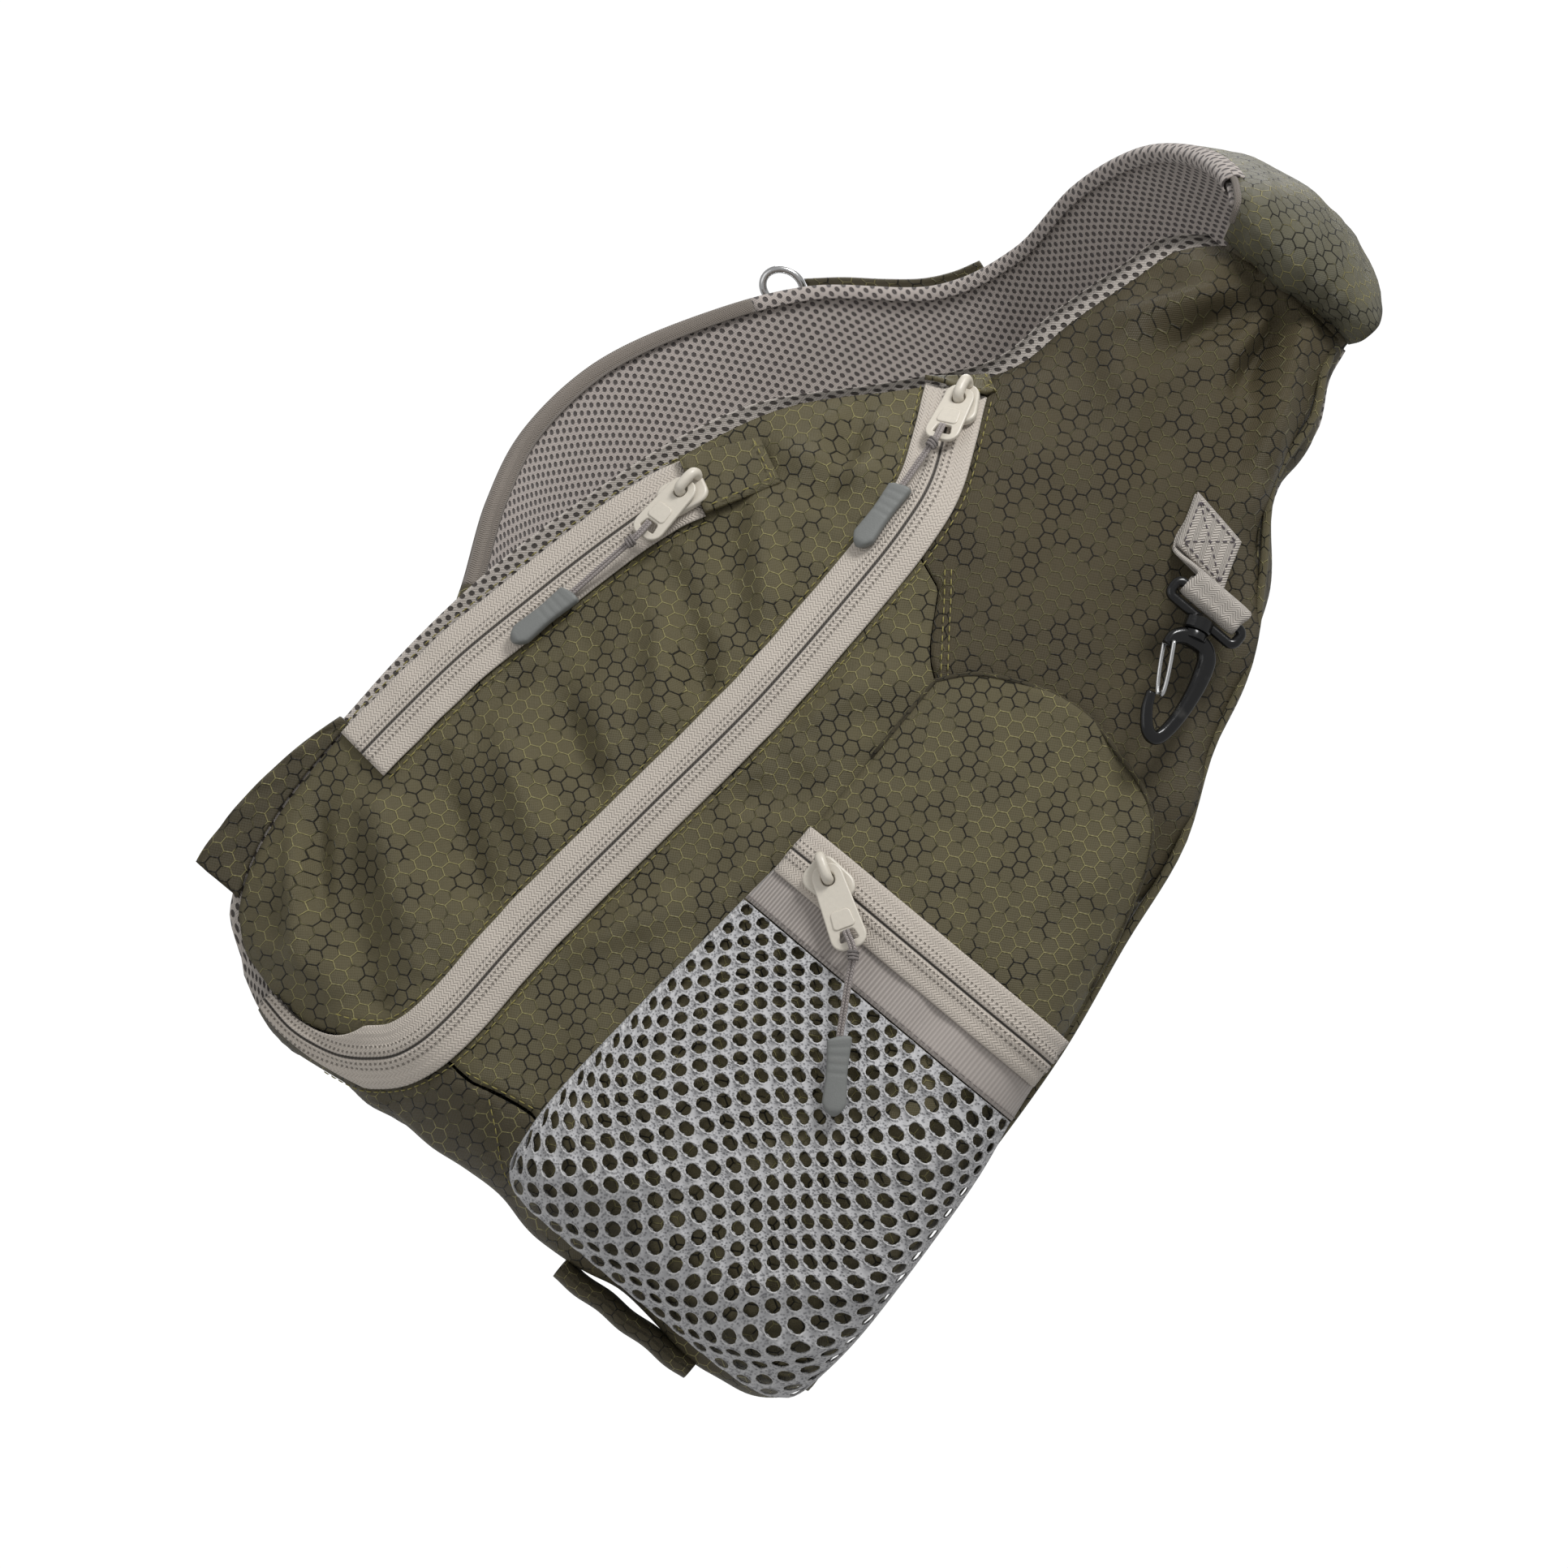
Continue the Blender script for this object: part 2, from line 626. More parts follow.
def ramp(tree, value, low, high, start=0.0, end=1.0):
    """A smooth step of a value between low and high."""
    inputs = {"Value": value, "From Min": low, "From Max": high, "To Min": start, "To Max": end}
    return node(tree, "ShaderNodeMapRange", inputs, interpolation_type="SMOOTHSTEP").outputs[0]


def times(tree, *values):
    return number(tree, "MULTIPLY", *values)


def noise(tree, scale, detail=2.0):
    """A noise between 0 and 1 in the object's own space."""
    where = node(tree, "ShaderNodeTexCoord").outputs["Object"]
    return node(tree, "ShaderNodeTexNoise", {"Vector": where, "Scale": scale, "Detail": detail}).outputs["Fac"]


def blend(tree, factor, first, second):
    """A colour between two."""
    return node(tree, "ShaderNodeMix", {0: factor, 6: first, 7: second}, data_type="RGBA").outputs[2]


def new_group(name, inputs, outputs):
    """A node group with its sockets; inputs are (label, kind, value), outputs (label, kind)."""
    group = bpy.data.node_groups.new(name, "ShaderNodeTree")
    for label, kind, value in inputs:
        socket = group.interface.new_socket(label, in_out="INPUT", socket_type="NodeSocket" + kind)
        socket.default_value = value
    for label, kind in outputs:
        group.interface.new_socket(label, in_out="OUTPUT", socket_type="NodeSocket" + kind)
    return group, group.nodes.new("NodeGroupInput").outputs, group.nodes.new("NodeGroupOutput").inputs


def honeycomb_group():
    """Six-sided cells with upright sides: a line mask, the distance from a cell's middle and a fine weave."""
    group, given, out = new_group("honeycomb", [("Place", "Vector", (0, 0, 0)), ("Pitch", "Float", 0.005),
                                                ("Line", "Float", 0.07), ("Thread", "Float", 0.0006)],
                                  [("Line", "Float"), ("Middle", "Float"), ("Weave", "Float")])
    size = (1.0, math.sqrt(3), 1.0)
    half = (0.5, math.sqrt(3) / 2, 0.0)
    flat = arrow(group, "MULTIPLY", given["Place"], (1.0, 1.0, 0.0))
    cells = scaled(group, flat, number(group, "DIVIDE", 1.0, given["Pitch"]))
    cells = arrow(group, "ADD", cells, (200.0, 200 * math.sqrt(3), 0.0))
    even = arrow(group, "SUBTRACT", arrow(group, "MODULO", cells, size), half)
    odd = arrow(group, "SUBTRACT", arrow(group, "MODULO", arrow(group, "SUBTRACT", cells, half), size), half)
    lengths = (arrow(group, "LENGTH", spot, output=1) for spot in (even, odd))
    nearer = number(group, "LESS_THAN", *lengths)
    cell = node(group, "ShaderNodeMix", {0: nearer, 4: odd, 5: even}, data_type="VECTOR").outputs[1]
    away = arrow(group, "ABSOLUTE", cell)
    slanted = arrow(group, "DOT_PRODUCT", away, (0.5, math.sqrt(3) / 2, 0.0), output=1)
    upright = node(group, "ShaderNodeSeparateXYZ", {0: away}).outputs[0]
    edge = number(group, "MAXIMUM", slanted, upright)
    group.links.new(ramp(group, edge, number(group, "SUBTRACT", 0.5, given["Line"]), 0.49), out["Line"])
    group.links.new(arrow(group, "LENGTH", cell, output=1), out["Middle"])
    threads = scaled(group, flat, number(group, "DIVIDE", math.tau, given["Thread"]))
    waves = node(group, "ShaderNodeSeparateXYZ", {0: arrow(group, "SINE", threads)})
    group.links.new(times(group, waves.outputs[0], waves.outputs[1]), out["Weave"])
    return group


def wear_group():
    """A colour with slow patches of tone and fine specks."""
    group, given, out = new_group("wear", [("Colour", "Color", (0.5, 0.5, 0.5, 1)), ("Amount", "Float", 0.15),
                                           ("Size", "Float", 0.05)], [("Colour", "Color"), ("Tone", "Float")])
    patches = number(group, "SUBTRACT", noise(group, number(group, "DIVIDE", 1.0, given["Size"]), 3.0), 0.5)
    specks = number(group, "SUBTRACT", noise(group, 900.0), 0.5)
    tone = number(group, "ADD", patches, times(group, specks, 0.6))
    tone = times(group, tone, given["Amount"])
    value = number(group, "MULTIPLY_ADD", tone, 2.0, 1.0)
    changed = node(group, "ShaderNodeHueSaturation", {"Color": given["Colour"], "Value": value}).outputs[0]
    group.links.new(changed, out["Colour"])
    group.links.new(tone, out["Tone"])
    return group


def weave_group():
    """Slanted yarns that change direction at each band: a height between 0 and 1."""
    group, given, out = new_group("slanted_weave", [("Place", "Vector", (0, 0, 0)), ("Yarn", "Float", 0.0011),
                                                    ("Band", "Float", 0.002)], [("Height", "Float")])
    parts = node(group, "ShaderNodeSeparateXYZ", {0: given["Place"]})
    band = number(group, "PINGPONG", parts.outputs[0], given["Band"])
    slope = number(group, "DIVIDE", number(group, "ADD", parts.outputs[1], band), given["Yarn"])
    wave = number(group, "SINE", times(group, slope, math.tau))
    group.links.new(number(group, "MULTIPLY_ADD", wave, 0.5, 0.5), out["Height"])
    return group


HONEYCOMB = honeycomb_group()
WEAR = wear_group()
WEAVE = weave_group()


def grouped(tree, group, inputs):
    """A node group placed in a material with its own values."""
    return node(tree, "ShaderNodeGroup", inputs, node_tree=group).outputs


def finish_of(name, colour, roughness, build, bump=0.0002, metallic=0.0, sheen=0.0, specular=0.5):
    """A material: build fills in colour and height from the tree, and the rest is set on the shader."""
    made = bpy.data.materials.new(name)
    made.use_nodes = True
    tree = made.node_tree
    shader = tree.nodes["Principled BSDF"]
    shader.inputs["Metallic"].default_value = metallic
    shader.inputs["Roughness"].default_value = roughness
    shader.inputs["Sheen Weight"].default_value = sheen
    shader.inputs["Specular IOR Level"].default_value = specular
    place = node(tree, "ShaderNodeAttribute", attribute_name="place").outputs["Vector"]
    colour, height = build(tree, place, linear(colour))
    toned = grouped(tree, WEAR, {"Colour": colour, "Amount": 0.10})
    tree.links.new(toned["Colour"], shader.inputs["Base Color"])
    rough = number(tree, "MULTIPLY_ADD", toned["Tone"], 0.6, roughness)
    tree.links.new(rough, shader.inputs["Roughness"])
    normal = node(tree, "ShaderNodeBump", {"Height": height, "Distance": bump, "Strength": 1.0}).outputs[0]
    tree.links.new(normal, shader.inputs["Normal"])
    return made


def olive_cloth(name, colour, lit=1.0):
    """Coated olive cloth with a raised six-sided grid, its lines light where they catch the light, else dark."""
    def build(tree, place, base):
        cells = grouped(tree, HONEYCOMB, {"Place": place, "Pitch": HEX_PITCH, "Line": HEX_LINE})
        bright = ramp(tree, noise(tree, LIT_PATCHES), LIT_FROM, LIT_TO, 0.0, lit)
        lines = blend(tree, bright, linear(OLIVE_DARK), linear(OLIVE_LINE))
        height = number(tree, "MULTIPLY_ADD", cells["Weave"], 0.16, cells["Line"])
        return blend(tree, cells["Line"], base, lines), height
    return finish_of(name, colour, 0.45, build, bump=0.0006, sheen=0.02, specular=0.32)


def spacer_mesh(name, colour, hole_colour, pitch=MESH_PITCH):
    """Knitted spacer mesh: round dark holes between light yarns."""
    def build(tree, place, base):
        cells = grouped(tree, HONEYCOMB, {"Place": place, "Pitch": pitch, "Thread": 0.0009})
        hole = number(tree, "SUBTRACT", 1.0, ramp(tree, cells["Middle"], 0.22, 0.33))
        colour = blend(tree, hole, base, linear(hole_colour))
        height = number(tree, "SUBTRACT", times(tree, cells["Weave"], 0.12), hole)
        return colour, height
    return finish_of(name, colour, 0.85, build, bump=0.0009, sheen=0.2, specular=0.25)


def zip_tape(name, colour):
    """Zip tape: slanted yarns, two rows of dark needle holes each side and a dark middle line."""
    def build(tree, place, base):
        parts = node(tree, "ShaderNodeSeparateXYZ", {0: place})
        across = number(tree, "ABSOLUTE", parts.outputs[0])
        along = parts.outputs[1]
        weave = grouped(tree, WEAVE, {"Place": place, "Yarn": 0.0013, "Band": 0.0012})["Height"]
        dots = None
        needle = number(tree, "SINE", times(tree, along, math.tau / NEEDLE_STEP))
        for row in NEEDLE_ROWS:
            away = number(tree, "ABSOLUTE", number(tree, "SUBTRACT", across, row))
            near = number(tree, "SUBTRACT", 1.0, ramp(tree, away, 0.0002, 0.0005))
            here = times(tree, near, number(tree, "GREATER_THAN", needle, 0.1))
            dots = here if dots is None else number(tree, "MAXIMUM", dots, here)
        middle = number(tree, "SUBTRACT", 1.0, ramp(tree, across, 0.0003, 0.0006))
        shaded = blend(tree, times(tree, weave, 0.22), base, linear((138, 128, 116)))
        shaded = blend(tree, times(tree, dots, 0.75), shaded, linear((96, 88, 80)))
        shaded = blend(tree, times(tree, middle, 0.9), shaded, linear((46, 42, 38)))
        height = number(tree, "SUBTRACT", weave, times(tree, number(tree, "MAXIMUM", dots, middle), 2.0))
        return shaded, height
    return finish_of(name, colour, 0.8, build, bump=0.00025, sheen=0.15, specular=0.3)


def ribbed(name, colour, pitch, depth=1.0):
    """Ribs across a band, as on grosgrain, fainter towards one end."""
    def build(tree, place, base):
        parts = node(tree, "ShaderNodeSeparateXYZ", {0: place})
        ribs = number(tree, "SINE", times(tree, parts.outputs[0], math.tau / pitch))
        fade = ramp(tree, parts.outputs[0], 0.03, 0.12, 1.0, 0.45)
        height = times(tree, number(tree, "MULTIPLY_ADD", ribs, 0.5, 0.5), fade)
        colour = blend(tree, times(tree, height, 0.6), base, linear((98, 92, 88)))
        return colour, times(tree, height, -depth)
    return finish_of(name, colour, 0.8, build, bump=0.0003, sheen=0.15, specular=0.3)


def webbing_weave(name, colour, shade, yarn=0.0016, band=0.0035):
    """Heavy webbing with slanted yarns."""
    def build(tree, place, base):
        height = grouped(tree, WEAVE, {"Place": place, "Yarn": yarn, "Band": band})["Height"]
        shaded = times(tree, number(tree, "SUBTRACT", 1.0, height), 0.45)
        return blend(tree, shaded, base, linear(shade)), height
    return finish_of(name, colour, 0.8, build, bump=0.0004, sheen=0.15, specular=0.3)


def net_yarn(name, colour):
    """Light knitted yarn of the net: small dark knit marks, brighter on the rims of its holes."""
    def build(tree, place, base):
        marks = node(tree, "ShaderNodeTexVoronoi", {"Vector": place, "Scale": 1100.0}).outputs["Distance"]
        knit = ramp(tree, marks, 0.1, 0.6)
        rim = node(tree, "ShaderNodeAttribute", attribute_name="rim").outputs["Fac"]
        shaded = blend(tree, knit, linear((112, 112, 116)), base)
        colour = blend(tree, times(tree, rim, 0.6), shaded, linear((214, 213, 212)))
        return colour, knit
    return finish_of(name, colour, 0.7, build, bump=0.0003, sheen=0.1, specular=0.4)


def smooth_finish(name, colour, roughness, metallic=0.0, specular=0.5, grain=700.0, bump=0.00005):
    """Moulded, painted or drawn finish with a fine grain."""
    def build(tree, place, base):
        scuffs = ramp(tree, noise(tree, 120.0, 6.0), 0.62, 0.75, 0.0, 0.08)
        return blend(tree, scuffs, base, linear((150, 147, 140))), noise(tree, grain, 3.0)
    return finish_of(name, colour, roughness, build, bump=bump, metallic=metallic, specular=specular)


def thread_finish(name, colour):
    def build(tree, place, base):
        twist = noise(tree, 1800.0)
        return blend(tree, times(tree, twist, 0.4), base, linear((60, 56, 40))), twist
    return finish_of(name, colour, 0.75, build, bump=0.0001, sheen=0.2, specular=0.3)


FINISHES = {
    "olive": olive_cloth("olive_cloth", OLIVE),
    "olive_lit": olive_cloth("olive_cloth_top", (96, 93, 76)),
    "olive_deep": olive_cloth("olive_cloth_deep", (76, 69, 50)),
    "olive_upper": olive_cloth("olive_cloth_upper", (76, 68, 48), 0.45),
    "spacer": spacer_mesh("spacer_mesh", (176, 167, 161), (84, 78, 76)),
    "spacer_light": spacer_mesh("spacer_mesh_light", (200, 192, 184), (84, 78, 74), 0.0036),
    "tape": zip_tape("zip_tape", (198, 189, 178)),
    "grosgrain": ribbed("grosgrain", (176, 168, 162), 0.0014),
    "binding": webbing_weave("strap_binding", (140, 131, 122), (96, 88, 80), 0.0009, 0.0012),
    "webbing": webbing_weave("webbing", (196, 189, 180), (136, 128, 120), 0.0011, 0.0024),
    "net": net_yarn("net_yarn", (178, 178, 180)),
    "cream": smooth_finish("cream_painted_metal", (206, 199, 186), 0.38),
    "rubber": smooth_finish("grey_rubber", (116, 118, 116), 0.6, grain=1500.0, bump=0.00008),
    "plastic": smooth_finish("black_plastic", (9, 9, 10), 0.22),
    "steel": smooth_finish("bright_steel", (200, 200, 200), 0.22, metallic=1.0),
    "cord": webbing_weave("pull_cord", (178, 169, 165), (112, 104, 102), 0.0011, 0.0011),
    "thread": thread_finish("olive_thread", (150, 140, 74)),
    "dark_thread": thread_finish("dark_thread", (88, 80, 88)),
    "grey_thread": thread_finish("grey_thread", (128, 120, 118)),
}
SLOTS = {
    **dict.fromkeys(("olive", "olive_lit", "olive_deep", "olive_upper"), "ripstop"),
    **dict.fromkeys(("spacer", "spacer_light"), "spacer_mesh"),
    **{name: name for name in ("grosgrain", "binding", "webbing", "net", "steel")},
    "tape": "zip_tape", "cream": "zip_metal", "rubber": "pull_rubber", "plastic": "black_plastic",
    "cord": "pull_cord",
}


# Mesh helpers

def grid_faces(rows, columns, wrap=False):
    j, i = np.meshgrid(np.arange(rows - 1), np.arange(columns if wrap else columns - 1), indexing="ij")
    n = (i + 1) % columns
    quads = np.stack([j * columns + i, j * columns + n, (j + 1) * columns + n, (j + 1) * columns + i], axis=-1)
    return quads.reshape(-1, 4).tolist()


def piece(name, points, faces, finish, nodes=(), body="pack", places=None, closed=False, sharp=None,
          upright=None):
    """A mesh that rides on a body, with its finish, standing for solids of the frame."""
    mesh = bpy.data.meshes.new(name)
    points = np.reshape(points, (-1, 3))
    moved = worn(points) if upright is None else in_frame(upright, points)
    mesh.from_pydata(moved.tolist(), [], faces)
    mesh.materials.append(FINISHES[finish])
    if closed:
        change_mesh(mesh, bmesh.ops.recalc_face_normals, "faces")
    mesh.shade_smooth()
    if sharp:
        mesh.set_sharp_from_angle(angle=math.radians(sharp))
    places = np.reshape(places, (len(points), -1)) if places is not None else points[:, [0, 2]]
    flat = np.pad(places, ((0, 0), (0, 3 - places.shape[1]))).astype(np.float32).ravel()
    mesh.attributes.new("place", "FLOAT_VECTOR", "POINT").data.foreach_set("vector", flat)
    mesh.update()
    obj = bpy.data.objects.new(name, mesh)
    bpy.context.scene.collection.objects.link(obj)
    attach(obj, body)
    if nodes:
        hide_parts(*nodes)
    return obj


def in_frame(matrix, points):
    """Points of a local frame in the world."""
    full = np.array(LEAN @ matrix)
    return np.reshape(points, (-1, 3)) @ full[:3, :3].T + full[:3, 3]


def thicken(obj, thickness):
    wall = obj.modifiers.new("wall", "SOLIDIFY")
    wall.thickness = thickness
    wall.offset = -1.0


def sheet(name, points, finish, nodes, thickness, places=None, wrap=False):
    """A cloth or tape wall on a grid of points."""
    obj = piece(name, points, grid_faces(*points.shape[:2], wrap), finish, nodes, places=places)
    thicken(obj, thickness)


def change_mesh(mesh, operation, part, **options):
    """Run one mesh operation on all faces or verts of a mesh."""
    work = bmesh.new()
    work.from_mesh(mesh)
    operation(work, **{part: getattr(work, part)}, **options)
    work.to_mesh(mesh)
    work.free()


def cells(length, size=CELL):
    return max(2, int(round(length / size)))


def frame_matrix(origin, up, outward):
    """A frame at a point: local z along up, local -y along the outward direction."""
    z_axis = Vector(up).normalized()
    back = -Vector(outward)
    y_axis = (back - z_axis * z_axis.dot(back)).normalized()
    x_axis = y_axis.cross(z_axis)
    matrix = Matrix((x_axis, y_axis, z_axis)).transposed().to_4x4()
    matrix.translation = Vector(origin)
    return matrix


def sweep(line, radii, sides=12, cyclic=False, reference=(0, 1, 0), flat=1.0):
    """Rings round a line, turned as little as the line lets them; flat scales them across the reference."""
    line = np.asarray(line, float)
    along = unit(np.roll(line, -1, 0) - np.roll(line, 1, 0)) if cyclic else along_of(line)
    radii = np.broadcast_to(radii, len(line))
    turn = turns(sides)
    side = np.cross(along[0], reference)
    rings = []
    for point, direction, radius in zip(line, along, radii):
        side = unit(side - direction * side.dot(direction))
        other = np.cross(direction, side)
        rings.append(point + radius * (np.cos(turn)[:, None] * side + flat * np.sin(turn)[:, None] * other))
    return np.array(rings)


def ring_faces(rings, sides, cyclic=False):
    """Faces of swept rings, closed in a loop or with two flat ends."""
    faces = grid_faces(rings, sides, wrap=True)
    if cyclic:
        last = (rings - 1) * sides
        faces += [[last + i, last + (i + 1) % sides, (i + 1) % sides, i] for i in range(sides)]
    else:
        faces += [list(range(sides))[::-1], list(range((rings - 1) * sides, rings * sides))]
    return faces


def tube(name, line, radii, finish, cyclic=False, sides=12, **options):
    """A round bar, wire or cord along a line."""
    shape = {key: options.pop(key) for key in ("reference", "flat") if key in options}
    rings = sweep(line, radii, sides, cyclic, **shape)
    places = stacked(np.linspace(0, 0.012, sides), lengths_of(line)[:, None])
    faces = ring_faces(len(rings), sides, cyclic)
    return piece(name, rings, faces, finish, places=places, closed=True, **options)


def stitches(name, lines, finish, length=STITCH_LENGTH, gap=STITCH_GAP, radius=THREAD):
    """Short threads laid end to end along lines of points, as one piece."""
    profile = ((0.0, 0.35, -0.4), (0.2, 1.0, 0.5), (0.8, 1.0, 0.5), (1.0, 0.35, -0.4))
    sides = 5
    cosine, sine = np.cos(turns(sides))[:, None], np.sin(turns(sides))[:, None]
    points, faces = [], []
    for line, outward in lines:
        line = np.asarray(line, float)
        total = lengths_of(line)
        count = max(1, int(total[-1] / (length + gap)))
        for index in range(count):
            at = (index + 0.5) * total[-1] / count + np.array([-0.5, 0.5]) * length
            start, end = (np.array([np.interp(a, total, line[:, k]) for k in range(3)]) for a in at)
            up = np.array([np.interp(at.mean(), total, outward[:, k]) for k in range(3)])
            direction = unit(end - start)
            side = unit(np.cross(direction, up))
            base = len(points) * sides
            for share_along, size, height in profile:
                centre = start + (end - start) * share_along + up * radius * height
                points.append(centre + radius * size * (cosine * side + sine * up))
            faces += [[base + v for v in face] for face in ring_faces(len(profile), sides)]
    piece(name, np.array(points), faces, finish, closed=True)


# The camera and the light

def look_from_the_front():
    """A level camera before the pack, framed as in the photograph."""
    camera = bpy.data.objects.new("camera", bpy.data.cameras.new("camera"))
    bpy.context.scene.collection.objects.link(camera)
    camera.location = LEAN @ Vector(VIEW_TARGET) - Vector((0, VIEW_DISTANCE, 0))
    camera.rotation_euler = (math.radians(90), 0, 0)
    camera.data.sensor_width = 36
    camera.data.lens = camera.data.sensor_width / 2 * VIEW_DISTANCE / VIEW_HALF
    bpy.context.scene.camera = camera


def soft_light():
    """A white surround, seen whiter than it lights, and three large soft lights."""
    world = bpy.data.worlds.new("white_surround")
    world.use_nodes = True
    tree = world.node_tree
    seen = node(tree, "ShaderNodeLightPath").outputs["Is Camera Ray"]
    strength = number(tree, "MULTIPLY_ADD", seen, SEEN_WHITE - SURROUND, SURROUND)
    tree.nodes["Background"].inputs["Color"].default_value = (1, 1, 1, 1)
    tree.links.new(strength, tree.nodes["Background"].inputs["Strength"])
    bpy.context.scene.world = world
    bpy.context.scene.view_settings.view_transform = "Standard"
    for row in LIGHTS:
        light = bpy.data.objects.new(row["name"], bpy.data.lights.new(row["name"], "AREA"))
        light.data.size = row["size"]
        light.data.energy = row["power"]
        light.location = row["place"]
        light.rotation_euler = (Vector(LIGHT_TARGET) - light.location).to_track_quat("-Z", "Y").to_euler()
        bpy.context.scene.collection.objects.link(light)


# How the cloth lies: folds, ripples at sewn edges and slow crumples

def distance_to(line, places):
    """Distance of each place to a line, and how far along the line its nearest point lies."""
    flat = places.reshape(-1, 2)
    line = evenly(line, cells(lengths_of(line)[-1], 0.003))
    gaps = np.linalg.norm(flat[:, None] - line[None], axis=2)
    nearest = gaps.argmin(axis=1)
    shape = places.shape[:-1]
    return gaps.min(axis=1).reshape(shape), lengths_of(line)[nearest].reshape(shape)


def fold_lift(places):
    """Height of the folds in the table at each place."""
    lift = np.zeros(places.shape[:-1])
    for fold in FOLDS:
        start, end = on_pack((fold["from"], fold["to"]))
        width, rise = share(fold["width"], FOLD_WIDTH), share(fold["rise"], FOLD_RISE)
        run = end - start
        t = np.clip(((places - start) @ run) / (run @ run), 0, 1)
        away = np.linalg.norm(places - start - t[..., None] * run, axis=-1) / width
        profile = np.exp(-away ** 2) - 0.3 * np.exp(-(away - 1.7) ** 2)
        lift += rise * (0.35 + 0.65 * np.sin(math.pi * t)) * profile
    return lift


def crumple(places, height=CRUMPLE):
    """Slow uneven waves."""
    draw = np.random.default_rng(12)
    lift = np.zeros(places.shape[:-1])
    for _ in range(12):
        angle, length, phase = draw.uniform(0, math.pi), draw.uniform(0.022, 0.075), draw.uniform(0, math.tau)
        lift += np.sin((places @ [math.cos(angle), math.sin(angle)]) * math.tau / length + phase) * length
    return height * lift / 0.12


def smooth_step(value, low, high):
    t = np.clip((value - low) / (high - low), 0, 1)
    return t * t * (3 - 2 * t)


def body_lift(places):
    """How far the body's cloth stands off its smooth form."""
    half = TAPE_WIDTH / 2
    free = np.ones(places.shape[:-1])
    ripple = np.zeros(places.shape[:-1])
    for route in (MAIN_ZIP, SIDE_ZIP):
        away, along = distance_to(smooth_route(on_pack(route), 8), places)
        free *= smooth_step(away, half + 0.0005, half + 0.009)
        wave = np.sin(along * math.tau / PUCKER_PITCH + 2.0 * np.sin(along * 90))
        fade = np.exp(-np.abs(away - half - 0.003) / PUCKER_REACH)
        ripple += wave * fade * smooth_step(away, half, half + 0.004)
    arch = seam(POCKET_ARCH)
    foot, head = NET_FOOT_HEIGHT, np.interp(places[..., 0], arch[:, 0], arch[:, 1])
    left, right = line_at(POCKET_LEFT_LINE, places[..., 1]), line_at(POCKET_RIGHT_LINE, places[..., 1])
    outside = np.maximum.reduce([left - places[..., 0], places[..., 0] - right, places[..., 1] - head,
                                 foot - places[..., 1]])
    free *= smooth_step(outside, -0.001, 0.006)
    free *= smooth_step(places[..., 0] - outline("left", places[..., 1]), 0.003, 0.014)
    groove = np.zeros(places.shape[:-1])
    for line in GROOVES:
        away, _ = distance_to(line, places)
        groove += 0.0009 * np.exp(-(away / 0.0018) ** 2)
    return free * (fold_lift(places) + crumple(places) + PUCKER_RISE * ripple) - groove


def body_cloth(places, lift=0.0):
    return lifted(places, body_lift(places) + lift)


def pocket_cloth(places, lift=0.0):
    """The pocket's cloth with slow waves that die out at its sewn edges."""
    left, right = line_at(POCKET_LEFT_LINE, places[..., 1]), line_at(POCKET_RIGHT_LINE, places[..., 1])
    inside = np.minimum(places[..., 0] - left, right - places[..., 0])
    return on_pocket(places, lift + crumple(places + 0.5, 0.0007) * smooth_step(inside, 0.002, 0.015))


NET_FOOT_HEIGHT = float(share(NET_FOOT[3][1], PACK_HEIGHT))
GROOVES = (seam(UPPER_SEAM)[:7], seam(LOWER_SEAM)[:7], seam(BOTTOM_SEAM))


# The body's walls

def cloth_panel(name, places, surface, finish, node_name, thickness=CLOTH):
    sheet(name, surface(places), finish, [node_name], thickness, places)


